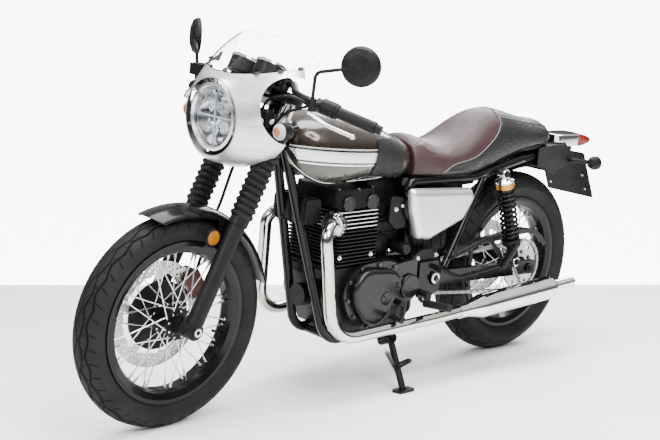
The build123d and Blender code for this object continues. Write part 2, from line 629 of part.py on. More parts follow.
# The frame: one tube each side from the head round the engine and back along the seat.
SHOCK_TOP = Vector(216, 148, 694)
SHOCK_LOW = Vector(114, 148, REAR_TYRE_R + 42)
head_low = fork_point(-FORK_OFFSET, 0, CLAMP_LOW + CLAMP_THICK + 2)
head_high = fork_point(-FORK_OFFSET, 0, CLAMP_HIGH - 2)
STAND_PIVOT = Vector(685, 120, 172)
STAND_AXIS = Vector(0, 0.9, 0.436).normalized()
with BuildPart() as main_frame:
    round_bar([(1128, 0, 866), (690, 0, 780), (640, 0, 690)], 60, BACKBONE_R)
    for side in (1, -1):
        round_bar([(1110, side * 12, 880), (925, side * 76, 187), (566, side * 60, 187), (560, side * 60, 440),
                   (604, side * 97, 560), (640, side * 97, 684), (320, side * 104, 681), (70, side * 100, 728),
                   (-36, side * 60, 727.8)], [80, 60, 60, 60, 34, 120, 80], TUBE_R)
        round_bar([(268, side * 104, 682), (478, side * 147, 396)], 0, 12)
        # Pivot plate outside the swingarm, tied to the upright.
        side_slab([(486, 316), (540, 300), (586, 300), (586, 420), (500, 420), (482, 390)], side * 134, side * 143,
                  corners=8)
        block((552, min(side * 60, side * 143), 330), (586, max(side * 60, side * 143), 364))
        # Pads that carry the crankcase.
        block((700, side * 68 - 14, 190), (730, side * 68 + 14, 204.7))
        block((850, side * 72 - 14, 190), (880, side * 72 + 14, 204.7))
        # Stud for the shock's top eye.
        rod((SHOCK_TOP.X, side * 100, SHOCK_TOP.Z), (SHOCK_TOP.X, side * 162, SHOCK_TOP.Z), 9)
        rod((PIVOT_X, side * 133.5, PIVOT_Z), (PIVOT_X, side * 152, PIVOT_Z), 19)
    rod((640, -97, 684), (640, 97, 684), TUBE_R)
    rod((562, -60, 200), (562, 60, 200), TUBE_R)
    rod((-36, -60, 727.8), (-36, 60, 727.8), TUBE_R - 2)
    rod((880, -70, 187), (880, 70, 187), TUBE_R - 3)
    # Stand lug with its pivot pin.
    block((668, 74, 176), (702, 106, 200))
    rod(STAND_PIVOT - STAND_AXIS * 34, STAND_PIVOT - STAND_AXIS, 17)
    rod(STAND_PIVOT - STAND_AXIS * 2, STAND_PIVOT + STAND_AXIS * 26, 7)
    rod(STAND_PIVOT + STAND_AXIS * 24.4, STAND_PIVOT + STAND_AXIS * 30, 13)
    rod(head_low, head_high, HEAD_TUBE_R)
    rod(head_low - fork_up * 5, head_high + fork_up * 5, STEM_R + FIT, mode=Mode.SUBTRACT)
    rod((PIVOT_X, -160, PIVOT_Z), (PIVOT_X, 160, PIVOT_Z), 10.1, mode=Mode.SUBTRACT)
main_frame.part.label = "main_frame"

# The engine: crankcase, finned block and head, and the covers on each side.
CASE_HALF = 116
with BuildPart() as crankcase:
    side_slab([(634, 236), (690, 205), (872, 205), (896, 262), (950, 392), (950, 432), (664, 432), (634, 404)],
              -CASE_HALF, CASE_HALF, corners=14)
    side_disc(FRONT_SPROCKET_X, FRONT_SPROCKET_Z, 66, CASE_HALF + 1, 62, mode=Mode.SUBTRACT)
    side_disc(FRONT_SPROCKET_X, FRONT_SPROCKET_Z, 60, 92, FRONT_SPROCKET_R - 8)
    side_disc(FRONT_SPROCKET_X, FRONT_SPROCKET_Z, 66, CASE_HALF, 12)
    block((540, 66, 288), (640, CASE_HALF + 1, 412), mode=Mode.SUBTRACT)
    side_disc(FRONT_SPROCKET_X, FRONT_SPROCKET_Z, 60, 92, FRONT_SPROCKET_R - 8)
    rod((905, 0, 330), (985, 0, 330), 36)
crankcase.part.label = "crankcase"

BLOCK_X = 852
FIN_HALF_X = 90
FIN_HALF_Y = 126
FIN_THICK = 3.2
FIN_STEP = 11.5
BLOCK_LOW = 432
BLOCK_FINS = 10
with BuildPart() as cylinder_block:
    block((BLOCK_X - 78, -106, BLOCK_LOW), (BLOCK_X + 78, 106, BLOCK_LOW + 122))
    for fin in range(BLOCK_FINS):
        z = BLOCK_LOW + 12 + fin * FIN_STEP
        with BuildSketch(Plane.XY.offset(z)):
            with Locations((BLOCK_X, 0)):
                RectangleRounded(2 * FIN_HALF_X, 2 * FIN_HALF_Y, 22)
        extrude(amount=FIN_THICK)
cylinder_block.part.label = "cylinder_block"

HEAD_LOW = BLOCK_LOW + 122
HEAD_HIGH = 622
PORT = Vector(BLOCK_X + 96, 116, 578)
INTAKE_X = BLOCK_X - 152
PORT_WAY = Vector(0.92, 0.38, 0).normalized()
with BuildPart() as cylinder_head:
    block((BLOCK_X - 82, -108, HEAD_LOW), (BLOCK_X + 80, 108, HEAD_HIGH))
    for fin in range(5):
        z = HEAD_LOW + 5 + fin * 12.5
        with BuildSketch(Plane.XY.offset(z)):
            with Locations((BLOCK_X, 0)):
                RectangleRounded(2 * FIN_HALF_X, 2 * FIN_HALF_Y - 6, 26)
        extrude(amount=FIN_THICK)
    with BuildSketch(Plane.XY.offset(HEAD_HIGH)):
        with Locations((BLOCK_X, 0)):
            RectangleRounded(178, 236, 40)
    extrude(amount=56, taper=8)
    for side in (1, -1):
        port_end = Vector(PORT.X, side * PORT.Y, PORT.Z)
        port_way = Vector(PORT_WAY.X, side * PORT_WAY.Y, PORT_WAY.Z)
        rod(port_end - port_way * 70, port_end, 23)
        rod((INTAKE_X, side * 50, 592), (BLOCK_X - 62, side * 50, 592), 27)
cylinder_head.part.label = "cylinder_head"

with BuildPart() as left_engine_covers:
    # A flange with the raised dynamo cover on it.
    side_blob([(884, 334), (880, 392), (846, 422), (770, 424), (704, 406), (682, 366), (716, 300), (762, 247),
               (802, 244), (858, 286)], CASE_HALF + 0.2, 166)
    fillet(left_engine_covers.faces().sort_by(Axis.Y)[-1].edges(), 16)
    side_blob([(908, 330), (902, 390), (848, 434), (770, 442), (696, 432), (656, 386), (694, 314), (752, 238),
               (804, 227), (876, 268)], CASE_HALF + 0.2, 138)
    # The sprocket cover behind it.
    side_slab([(594, 314), (614, 296), (712, 290), (712, 424), (596, 436)], CASE_HALF + 0.2, 140, corners=12)
    side_disc(630, 347, 139, 153, 42)
    fillet(left_engine_covers.faces().filter_by(GeomType.PLANE).filter_by_position(Axis.Y, 152.9, 153.1).edges(), 6)
left_engine_covers.part.label = "left_engine_covers"

with BuildPart() as right_engine_covers:
    side_disc(752, 340, -CASE_HALF - 0.2, -166, 90)
    fillet(right_engine_covers.faces().sort_by(Axis.Y)[0].edges(), 14)
    side_disc(752, 340, -CASE_HALF - 0.2, -138, 104)
    side_disc(858, 330, -CASE_HALF - 0.2, -146, 62)
    # The shaft tower that drives the cam, up the right of the cylinders.
    rod((862, -146, 380), (862, -146, 610), 17)
    rod((862, -146, 596), (862, -146, 640), 22)
    rod((862, -146, 372), (862, -146, 412), 26)
    rod((862, -146, 612), (862, -123.4, 612), 18)
right_engine_covers.part.label = "right_engine_covers"

with BuildPart() as throttle_bodies:
    for side in (1, -1):
        rod((INTAKE_X - 52, side * 50, 592), (INTAKE_X - FIT, side * 50, 592), 33)
        block((INTAKE_X - 40, min(side * 50, side * 103), 560), (INTAKE_X - 10, max(side * 50, side * 103), 628))
        # The cover plate outside each body.
        side_slab([(INTAKE_X + 12, 645), (INTAKE_X - 46, 636), (INTAKE_X - 63, 539), (INTAKE_X - 18, 535),
                   (INTAKE_X + 14, 563)], side * 102, side * 111, corners=9)
throttle_bodies.part.label = "throttle_bodies"

PIPE_R = 19
MUFFLER_R = 40.5
MUFFLER_FRONT = Vector(452, 208, 252)
MUFFLER_REAR = Vector(-134, 226, 289)
muffler_way = (MUFFLER_REAR - MUFFLER_FRONT).normalized()
muffler_long = (MUFFLER_REAR - MUFFLER_FRONT).length
with BuildPart() as header_pipes:
    port_start = PORT + PORT_WAY * 0.3
    round_bar([port_start, PORT + PORT_WAY * 68, Vector(988, 178, 224), MUFFLER_FRONT - muffler_way * 110,
               MUFFLER_FRONT - muffler_way * FIT], [48, 96, 160], PIPE_R)
    for fin in range(4):
        rod(PORT + PORT_WAY * (3 + fin * 7), PORT + PORT_WAY * (7 + fin * 7), 36)
    rod(PORT + PORT_WAY * 2, PORT + PORT_WAY * 30, 27)
    mirror(about=Plane.XZ)
header_pipes.part.label = "header_pipes"

with BuildPart() as mufflers:
    muffler_plane = Plane(origin=MUFFLER_FRONT, x_dir=muffler_way, z_dir=muffler_way.cross(Vector(0, 0, 1)))
    turned(muffler_plane, Axis(MUFFLER_FRONT, muffler_way), [
        (0, 0), (0, 23), (40, 24), (110, MUFFLER_R), (muffler_long - 128, MUFFLER_R), (muffler_long - 118, 36),
        (muffler_long - 96, 20), (muffler_long, 18), (muffler_long, 15), (muffler_long - 90, 15),
        (muffler_long - 90, 0),
    ])
    hanger = MUFFLER_FRONT + muffler_way * 300
    rod(hanger + Vector(0, 0, 36), hanger + Vector(8, -30, 96), 8)
    mirror(about=Plane.XZ)
mufflers.part.label = "mufflers"

# Tank sections, front to back.
TANK = [
    dict(x=1106, half_low=40, low=796, half=62, middle=820, half_high=44, high=842, top=852),
    dict(x=1080, half_low=66, low=752, half=96, middle=810, half_high=72, high=868, top=886),
    dict(x=1000, half_low=92, low=706, half=138, middle=790, half_high=100, high=880, top=912),
    dict(x=880, half_low=100, low=704, half=148, middle=785, half_high=104, high=872, top=908),
    dict(x=760, half_low=94, low=706, half=132, middle=775, half_high=90, high=848, top=874),
    dict(x=624, half_low=72, low=712, half=92, middle=752, half_high=66, high=800, top=818),
]
with BuildPart() as fuel_tank:
    tank_sections = [body_section(**row) for row in TANK]
    loft(tank_sections)
    # The tunnel over the backbone.
    side_slab([(1200, 640), (600, 640), (600, 791.1), (660, 799.1), (1200, 905.1)], -46, 46, mode=Mode.SUBTRACT)
fuel_tank.part.label = "fuel_tank"

with BuildPart() as filler_cap:
    rod((940, 0, 900), (940, 0, 924), 34)
    rod((940, 0, 923), (940, 0, 930), 28)
    add(fuel_tank.part, mode=Mode.SUBTRACT)
    rod((940, 0, 880), (940, 0, 912), 40, mode=Mode.SUBTRACT)
filler_cap.part.label = "filler_cap"

with BuildPart() as knee_pads:
    side_slab([(676, 728), (828, 724), (812, 838), (684, 826)], 80, 170, corners=14)
    add(fuel_tank.part, mode=Mode.SUBTRACT)
    with BuildPart(mode=Mode.PRIVATE) as pad_limit:
        pad_rows = [dict(row, half_low=row["half_low"] + 5, half=row["half"] + 5, half_high=row["half_high"] + 5,
                         top=row["top"] + 5) for row in TANK]
        loft([body_section(**row) for row in pad_rows])
    add(pad_limit.part, mode=Mode.INTERSECT)
    mirror(about=Plane.XZ)
knee_pads.part.label = "knee_pads"

# Seat sections, front to back.
SEAT_ROWS = [
    dict(x=612, half_low=96, low=700.2, half=104, middle=752, half_high=84, high=796, top=814),
    dict(x=500, half_low=122, low=699, half=132, middle=742, half_high=108, high=780, top=806),
    dict(x=380, half_low=128, low=699, half=138, middle=746, half_high=112, high=789, top=814),
    dict(x=262, half_low=118, low=716, half=128, middle=780, half_high=98, high=846, top=880),
    dict(x=60, half_low=104, low=764, half=112, middle=800, half_high=86, high=846, top=880),
    dict(x=-80, half_low=80, low=770, half=88, middle=800, half_high=62, high=834, top=858),
    dict(x=-150, half_low=40, low=778, half=48, middle=790, half_high=36, high=800, top=806),
]
with BuildPart() as seat:
    loft([body_section(**row) for row in SEAT_ROWS])
seat.part.label = "seat"

with BuildPart() as side_covers:
    side_slab([(652, 668), (362, 652), (340, 622), (394, 545), (548, 492), (606, 500), (640, 590)], 122, 150,
              corners=16)
    fillet(side_covers.faces().sort_by(Axis.Y)[-1].edges(), 24)
    side_slab([(642, 658), (368, 644), (352, 622), (400, 552), (548, 502), (600, 508), (630, 592)], 121, 138,
              mode=Mode.SUBTRACT, corners=12)
    for x, z in ((510, 560), (420, 630)):
        rod((x, 78.3, z), (x, 140, z), 7)
    mirror(about=Plane.XZ)
side_covers.part.label = "side_covers"

with BuildPart() as airbox:
    block((392, -78, 506), (536, 78, 664))
    block((536, -70, 560), (647.5, 70, 632))
    # Round boots outside the frame's uprights.
    for side in (1, -1):
        side_disc(612, 603, side * 112.4, side * 121, 46)
airbox.part.label = "airbox"

# The swingarm, with the rear axle in its ends.
with BuildPart() as swingarm:
    for side in (1, -1):
        side_slab([(PIVOT_X + 26, PIVOT_Z - 24), (PIVOT_X + 26, PIVOT_Z + 24), (60, REAR_TYRE_R + 28),
                   (-40, REAR_TYRE_R + 24), (-40, REAR_TYRE_R - 24), (60, REAR_TYRE_R - 20)],
                  side * (ARM_Y - 11), side * (ARM_Y + 11), corners=10)
        rod((0, side * 92.5, REAR_TYRE_R), (0, side * 136, REAR_TYRE_R), 17)
        rod((SHOCK_LOW.X, side * 126, SHOCK_LOW.Z), (SHOCK_LOW.X, side * 164, SHOCK_LOW.Z), 9)
        block((SHOCK_LOW.X - 24, side * ARM_Y - 9, SHOCK_LOW.Z - 24),
              (SHOCK_LOW.X + 24, side * ARM_Y + 9, SHOCK_LOW.Z + 10))
        rod((PIVOT_X, side * 100, PIVOT_Z), (PIVOT_X, side * 133, PIVOT_Z), 24)
    rod((PIVOT_X, -120, PIVOT_Z), (PIVOT_X, 120, PIVOT_Z), 20)
    rod((PIVOT_X, -156, PIVOT_Z), (PIVOT_X, 156, PIVOT_Z), 10)
    rod((0, -140, REAR_TYRE_R), (0, 140, REAR_TYRE_R), AXLE_R)
    block((420, -110, 342), (440, 110, 366))
swingarm.part.label = "swingarm"

SPRING_R = 27
SPRING_WIRE_R = 4.5
SPRING_COILS = 11
shock_up = (SHOCK_TOP - SHOCK_LOW).normalized()
shock_long = (SHOCK_TOP - SHOCK_LOW).length
with BuildPart() as shock_absorbers:
    for spot in (SHOCK_TOP, SHOCK_LOW):
        rod(spot - Vector(0, 14, 0), spot + Vector(0, 14, 0), 17)
    rod(SHOCK_LOW, SHOCK_LOW + shock_up * 130, 20)
    rod(SHOCK_LOW + shock_up * 120, SHOCK_TOP, 8)
    rod(SHOCK_LOW + shock_up * 70, SHOCK_LOW + shock_up * 88, 33)
    rod(SHOCK_TOP - shock_up * 52, SHOCK_TOP - shock_up * 20, 33)
    coil_step = (shock_long - 52 - 88) / SPRING_COILS
    for coil in range(SPRING_COILS):
        ring_up = 88 + (coil + 0.5) * coil_step
        rod(SHOCK_LOW + shock_up * (ring_up - 5), SHOCK_LOW + shock_up * (ring_up + 5), SPRING_R + SPRING_WIRE_R)
    rod(SHOCK_LOW + shock_up * 88, SHOCK_TOP - shock_up * 52, SPRING_R - 3)
    for spot in (SHOCK_TOP, SHOCK_LOW):
        rod(spot - Vector(0, 20, 0), spot + Vector(0, 20, 0), 9.1, mode=Mode.SUBTRACT)
    mirror(about=Plane.XZ)
shock_absorbers.part.label = "shock_absorbers"

# Rear fender under the seat, with the lamp, the plate holder and the indicators behind it.
REAR_FENDER_R = REAR_TYRE_R + 52
with BuildPart() as rear_fender:
    way = Vector(cos(radians(72)), 0, sin(radians(72)))
    with BuildSketch(Plane(origin=rear_axle, x_dir=(0, 1, 0), z_dir=way.cross(Vector(0, 1, 0)) * -1)) as rear_arch:
        with BuildLine():
            ThreePointArc((-78, REAR_FENDER_R - 22), (0, REAR_FENDER_R), (78, REAR_FENDER_R - 22))
            Line((78, REAR_FENDER_R - 22), (74, REAR_FENDER_R - 24))
            ThreePointArc((74, REAR_FENDER_R - 24), (0, REAR_FENDER_R - 4), (-74, REAR_FENDER_R - 24))
            Line((-74, REAR_FENDER_R - 24), (-78, REAR_FENDER_R - 22))
        make_face()
    revolve(rear_arch.sketch, axis=Axis(rear_axle, (0, -1, 0)), revolution_arc=44)
    side_slab([(-60, 757), (-60, 688), (-150, 662), (-262, 690), (-272, 712), (-214, 762), (-150, 764)], -74, 74,
              corners=10)
    side_slab([(-40, 750), (-40, 660), (-140, 660), (-240, 690), (-244, 700), (-200, 742), (-110, 752)], -70, 70,
              mode=Mode.SUBTRACT, corners=6)
rear_fender.part.label = "rear_fender"

with BuildPart() as tail_lamp:
    side_slab([(-176, 763.6), (-176, 800), (-330, 798), (-392, 780), (-392, 756), (-340, 744), (-240, 744),
               (-226, 763.6)], -58, 58, corners=6)
tail_lamp.part.label = "tail_lamp"

with BuildPart() as plate_holder:
    side_slab([(-283, 732), (-289, 732), (-376, 560), (-370, 557)], -104, 104)
    side_slab([(-274, 722), (-274, 743.7), (-312, 743.7), (-304, 722), (-322, 686), (-316, 684)], -30, 30)
plate_holder.part.label = "plate_holder"

with BuildPart() as rear_indicators:
    round_bar([(-240, 74.4, 706), (-240, 98, 706), (-284, 136, 703)], 14, 8)
    turned(Plane(origin=(-290, 152, 702), x_dir=(1, 0, 0), z_dir=(0, -1, 0)), Axis((-290, 152, 702), (1, 0, 0)),
           [(-23, 0), (-20, 18), (-14, 25), (4, 25), (20, 17), (26, 0)])
    mirror(about=Plane.XZ)
rear_indicators.part.label = "rear_indicators"

# The chain runs as one loop from the gearbox sprocket to the wheel sprocket.
CHAIN_HALF = 7


def chain_outline(grow):
    """The loop round both sprockets, drawn outside or inside the chain's own line."""
    with BuildSketch(side_plane(CHAIN_Y - 9)) as loop:
        with BuildLine():
            front_r = FRONT_SPROCKET_R + grow
            rear_r = REAR_SPROCKET_R + grow
            span = FRONT_SPROCKET_X
            slant = (rear_r - front_r) / span
            top_x = slant
            rise = (1 - slant * slant) ** 0.5
            front_top = (-FRONT_SPROCKET_X - front_r * top_x, FRONT_SPROCKET_Z + front_r * rise)
            front_low = (-FRONT_SPROCKET_X - front_r * top_x, FRONT_SPROCKET_Z - front_r * rise)
            rear_top = (-rear_r * top_x, REAR_TYRE_R + rear_r * rise)
            rear_low = (-rear_r * top_x, REAR_TYRE_R - rear_r * rise)
            Line(front_top, rear_top)
            ThreePointArc(rear_top, (rear_r, REAR_TYRE_R), rear_low)
            Line(rear_low, front_low)
            ThreePointArc(front_low, (-FRONT_SPROCKET_X - front_r, FRONT_SPROCKET_Z), front_top)
        make_face()
    return loop.sketch


with BuildPart() as chain:
    extrude(chain_outline(CHAIN_HALF), amount=18)
    extrude(chain_outline(-CHAIN_HALF), amount=18, mode=Mode.SUBTRACT)
chain.part.label = "chain"

with BuildPart() as chain_guard:
    guard_outer = [(400, 424), (300, 448), (37, 470), (0, 472), (-50, 463), (-92, 438), (-121, 404)]
    guard_inner = [(-108, 396), (-82, 424), (-44, 446), (0, 454), (37, 452), (300, 430), (394, 412)]
    side_slab(guard_outer + guard_inner, 99, 102.5)
    rim_inner = [(-118, 402), (-89, 436), (-48, 460), (0, 468.5), (37, 466.5), (300, 444.5), (398, 421)]
    side_slab(guard_outer + rim_inner, 72, 102.5)
    rod((300, 102, 440), (300, 112, 440), 9)
    block((292, 106, 370.9), (308, 112, 440))
chain_guard.part.label = "chain_guard"

with BuildPart() as rider_pegs:
    round_bar([(570, 143.4, 318), (570, 176, 318), (606, 202, 300)], 14, 11)
    rod((606, 196, 300), (600, 300, 310), 13)
    mirror(about=Plane.XZ)
rider_pegs.part.label = "rider_pegs"

with BuildPart() as passenger_pegs:
    round_bar([(458, 164, 430), (300, 182, 484), (204, 186, 384), (430, 176, 360), (512, 164, 398)], [40, 22, 60], 7)
    rod((458, 156, 430), (458, 166, 430), 9)
    rod((512, 143.4, 398), (512, 166, 398), 9)
    rod((228, 178, 386), (228, 206, 386), 13)
    rod((228, 200, 390), (246, 262, 478), 12)
    mirror(about=Plane.XZ)
passenger_pegs.part.label = "passenger_pegs"

with BuildPart() as pedals:
    # Gear lever on the left.
    rod((686, 140.4, 304), (686, 176, 304), 10)
    round_bar([(686, 170, 304), (722, 176, 272), (740, 196, 268)], 12, 6)
    rod((738, 178, 268), (738, 228, 268), 9)
    # Brake pedal on the right.
    rod((640, -143.6, 306), (640, -176, 306), 10)
    round_bar([(640, -170, 306), (700, -176, 268), (742, -196, 272)], 16, 7)
    rod((740, -186, 272), (740, -232, 272), 10)
    side_slab([(648, 294), (586.4, 304), (586.4, 320), (648, 318)], -134, -146)
pedals.part.label = "pedals"

with BuildPart() as rear_caliper:
    with BuildSketch(Plane(origin=rear_axle + Vector(0, -64, 0), x_dir=(1, 0, 0), z_dir=(0, -1, 0))):
        with Locations((96, 86)):
            RectangleRounded(84, 60, 12)
    extrude(amount=40)
    with BuildSketch(Plane(origin=rear_axle + Vector(0, REAR_DISC_Y + 4, 0), x_dir=(1, 0, 0), z_dir=(0, -1, 0))):
        Circle(REAR_DISC_R + 5)
    extrude(amount=DISC_THICK + 8, mode=Mode.SUBTRACT)
    block((110, -128, 386), (132, -88, 400))
    block((110, -128, 384.4), (132, -110, 392))
rear_caliper.part.label = "rear_caliper"

# The side stand, down. Its foot lies flat on the floor once the bike leans onto it.
FOOT_X = 694
FOOT_Y = 218
floor_slope = tan(radians(LEAN))
foot_z = FOOT_Y * floor_slope - TYRE_DROP
with BuildPart() as side_stand:
    rod(STAND_PIVOT - STAND_AXIS * 0.6, STAND_PIVOT + STAND_AXIS * 24, 18)
    ankle = Vector(FOOT_X, FOOT_Y - 4, foot_z + 8)
    rod(STAND_PIVOT + STAND_AXIS * 11.7, ankle, 11)
    foot_up = Vector(0, -sin(radians(LEAN)), cos(radians(LEAN)))
    with BuildSketch(Plane(origin=(FOOT_X, FOOT_Y, foot_z), x_dir=(1, 0, 0), z_dir=foot_up)):
        RectangleRounded(72, 46, 14)
    extrude(amount=8)
    tang = STAND_PIVOT + (ankle - STAND_PIVOT) * 0.6
    round_bar([tang, tang + Vector(-6, 54, 40), tang + Vector(8, 60, 52), tang + Vector(20, 8, 14)], [7, 7], 4.5)
    rod(STAND_PIVOT - STAND_AXIS * 2, STAND_PIVOT + STAND_AXIS * 26, 7 + FIT, mode=Mode.SUBTRACT)
side_stand.part.label = "side_stand"

# Parking: the steered pieces turn about the steering axis, then everything leans onto the stand
# and moves so that the middle of the whole machine's outline is over the origin.
STEERED = [
    front_axle_bar, fork_sliders, fork_tubes, fork_gaiters, lower_clamp, upper_clamp, handlebar, grips, switchgear,
    levers, mirrors, headlamp, headlamp_lens, fairing, windscreen, front_indicators, instruments, front_fender,
    front_caliper, front_brake_hose, reflectors, front_tyre, front_rim, front_spokes, front_hub, front_disc,
]
FIXED = [
    main_frame, crankcase, cylinder_block, cylinder_head, left_engine_covers, right_engine_covers, throttle_bodies,
    header_pipes, mufflers, fuel_tank, filler_cap, knee_pads, seat, side_covers, airbox, swingarm, shock_absorbers,
    rear_fender, tail_lamp, plate_holder, rear_indicators, chain, chain_guard, rider_pegs, passenger_pegs, pedals,
    rear_caliper, rear_tyre, rear_rim, rear_spokes, rear_hub, rear_disc, rear_sprocket, side_stand,
]
SHIFT_X = -695.2
SHIFT_Y = -102.2

os.makedirs("parts", exist_ok=True)
steer_axis = Axis(steer_foot, fork_up)
for builder in STEERED + FIXED:
    piece = builder.part
    name = piece.label
    if builder in STEERED:
        piece = piece.rotate(steer_axis, STEER_REST)
    piece = piece.rotate(Axis.X, -LEAN)
    piece = Pos(SHIFT_X, SHIFT_Y, TYRE_DROP) * piece
    piece.label = name
    export_step(piece, f"parts/{name}.step")
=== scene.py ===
"""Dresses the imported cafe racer: a finish for each solid, and the soft and fine pieces that ride on them."""

import logging
from dataclasses import dataclass, field
from enum import Enum
from math import atan2, cos, pi, radians, sin, sqrt

import bmesh
import bpy
import numpy as np
from mathutils import Matrix, Vector

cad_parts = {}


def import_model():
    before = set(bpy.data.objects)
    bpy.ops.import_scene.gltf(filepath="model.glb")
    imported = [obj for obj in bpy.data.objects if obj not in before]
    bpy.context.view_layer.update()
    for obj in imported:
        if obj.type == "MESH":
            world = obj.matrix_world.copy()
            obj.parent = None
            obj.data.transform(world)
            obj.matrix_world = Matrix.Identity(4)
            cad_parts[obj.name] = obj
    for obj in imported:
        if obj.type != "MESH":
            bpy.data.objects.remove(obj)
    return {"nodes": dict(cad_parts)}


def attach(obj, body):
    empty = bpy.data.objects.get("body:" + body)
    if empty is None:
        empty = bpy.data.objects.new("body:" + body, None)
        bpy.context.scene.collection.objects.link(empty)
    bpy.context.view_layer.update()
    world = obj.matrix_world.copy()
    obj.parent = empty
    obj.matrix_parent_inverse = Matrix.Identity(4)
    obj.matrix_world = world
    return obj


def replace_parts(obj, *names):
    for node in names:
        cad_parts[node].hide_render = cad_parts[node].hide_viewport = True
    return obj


LOG = logging.getLogger("cafe_racer")
Item = bpy.types.Object
Material = bpy.types.Material
Node = bpy.types.Node
Socket = bpy.types.NodeSocket
Tree = bpy.types.NodeTree
Colour = tuple[float, float, float]
Point = tuple[float, float, float]
Flat = tuple[float, float]
MM = 0.001
AHEAD = Vector((1, 0, 0)).freeze()
LEFT = Vector((0, 1, 0)).freeze()
UP = Vector((0, 0, 1)).freeze()
# A place well to the side of the bike, in mm, to look at its solids from.
OUTSIDE = 400.0


class Body(Enum):
    """The bodies that pieces ride on."""

    FRAME = "frame"
    STEERING = "steering"
    FRONT_WHEEL = "front_wheel"
    REAR_WHEEL = "rear_wheel"
    STAND = "side_stand"


class Skin(Enum):
    """The kinds of fine relief a finish can have."""

    SMOOTH = "smooth"
    GRAIN = "grain"
    BRUSHED = "brushed"
    LEATHER = "leather"
    CRINKLE = "crinkle"


@dataclass(frozen=True)
class Parking:
    """How the upright drawing, in mm, stands parked in the row frame, in metres."""

    wheelbase: float = 1465.0
    axle_z: float = 318.0
    rake: float = 26.0
    trail: float = 94.0
    lean: float = 6.05
    steer: float = 3.75
    shift: Point = (-695.2, -102.2, 0.4)

    def fork_up(self) -> Vector:
        """The way up the fork legs."""
        return Vector((-sin(radians(self.rake)), 0, cos(radians(self.rake))))

    def fork_ahead(self) -> Vector:
        """The way ahead, square to the fork legs."""
        return Vector((cos(radians(self.rake)), 0, sin(radians(self.rake))))

    def fork_point(self, ahead: float, left: float, up: float) -> Vector:
        """Finds a point by its distance ahead of the fork legs, left of the middle and up from the axle."""
        axle = Vector((self.wheelbase, 0, self.axle_z))
        return axle + self.fork_ahead() * ahead + LEFT * left + self.fork_up() * up

    def matrix(self, body: Body) -> Matrix:
        """Gives the move from the upright drawing to the row frame.

        Args:
            body: The body that the piece rides on.

        Returns:
            A matrix that also turns mm into metres.
        """
        lean = Matrix.Rotation(-radians(self.lean), 4, "X")
        fixed = Matrix.Scale(MM, 4) @ Matrix.Translation(self.shift) @ lean
        if body not in (Body.STEERING, Body.FRONT_WHEEL):
            return fixed
        foot = Vector((self.wheelbase + self.trail, 0, 0))
        turn = Matrix.Rotation(radians(self.steer), 4, self.fork_up())
        return fixed @ Matrix.Translation(foot) @ turn @ Matrix.Translation(-foot)


PARKED = Parking()


class Bench:
    """Lays out nodes in one shader tree."""

    def __init__(self, tree: Tree) -> None:
        """Keeps the tree to work on, a material's own or a group's."""
        self.tree = tree

    def node(self, kind: str, **settings: object) -> Node:
        """Adds a node.

        Args:
            kind: The node's type, without its ShaderNode prefix.
            **settings: Properties to set on it.

        Returns:
            The new node.
        """
        made = self.tree.nodes.new("ShaderNode" + kind if not kind.startswith("NodeGroup") else kind)
        for name, value in settings.items():
            setattr(made, name, value)
        return made

    def feed(self, socket: Socket, value: object) -> None:
        """Sets a socket to a constant, or links it to another socket.

        Args:
            socket: The input socket.
            value: A number, a colour or an output socket.
        """
        if isinstance(value, Socket):
            self.tree.links.new(value, socket)
        elif isinstance(value, tuple) and socket.type == "RGBA":
            socket.default_value = (*value[:3], 1.0)
        else:
            socket.default_value = value

    def math(self, action: str, first: object, second: object = 0.0) -> Socket:
        """Adds a math node.

        Args:
            action: Its operation.
            first: Its first value or socket.
            second: Its second value or socket.

        Returns:
            Its output socket.
        """
        made = self.node("Math", operation=action)
        self.feed(made.inputs[0], first)
        self.feed(made.inputs[1], second)
        return made.outputs[0]

    def blend(self, share: object, low: object, high: object) -> Socket:
        """Mixes two colours.

        Args:
            share: How much of the second colour shows.
            low: The first colour.
            high: The second colour.

        Returns:
            The mixed colour's socket.
        """
        # Its colours are the inputs 6 and 7 and the output 2 of a mix node.
        made = self.node("Mix", data_type="RGBA")
        self.feed(made.inputs[0], share)
        self.feed(made.inputs[6], low)
        self.feed(made.inputs[7], high)
        return made.outputs[2]

    def span(
        self, value: object, low: float, high: float, to_low: object = 0.0, to_high: object = 1.0
    ) -> Socket:
        """Maps a range of values to another, smoothly and with its ends held.

        Args:
            value: The value's socket.
            low: Where the range starts.
            high: Where it ends.
            to_low: What the start becomes.
            to_high: What the end becomes.

        Returns:
            The mapped value's socket.
        """
        made = self.node("MapRange", interpolation_type="SMOOTHSTEP")
        for slot, entry in zip(made.inputs[:5], (value, low, high, to_low, to_high)):
            self.feed(slot, entry)
        return made.outputs[0]

    def noise(self, scale: object, detail: float = 3.0, vector: object = None) -> Socket:
        """Adds noise over the object's own coordinates.

        Args:
            scale: The noise's scale.
            detail: How many finer layers it has.
            vector: Other coordinates to use.

        Returns:
            The noise value's socket.
        """
        made = self.node("TexNoise")
        made.inputs["Detail"].default_value = detail
        self.feed(made.inputs["Vector"], vector or self.node("TexCoord").outputs["Object"])
        self.feed(made.inputs["Scale"], scale)
        return made.outputs[0]

    def group(self, tree: Tree, output: str, **values: object) -> Socket:
        """Places a shared node group.

        Args:
            tree: The group.
            output: Which of its outputs is wanted.
            **values: Values or sockets for its inputs.

        Returns:
            The output's socket.
        """
        made = self.node("Group", node_tree=tree)
        for name, value in values.items():
            self.feed(made.inputs[name], value)
        return made.outputs[output]


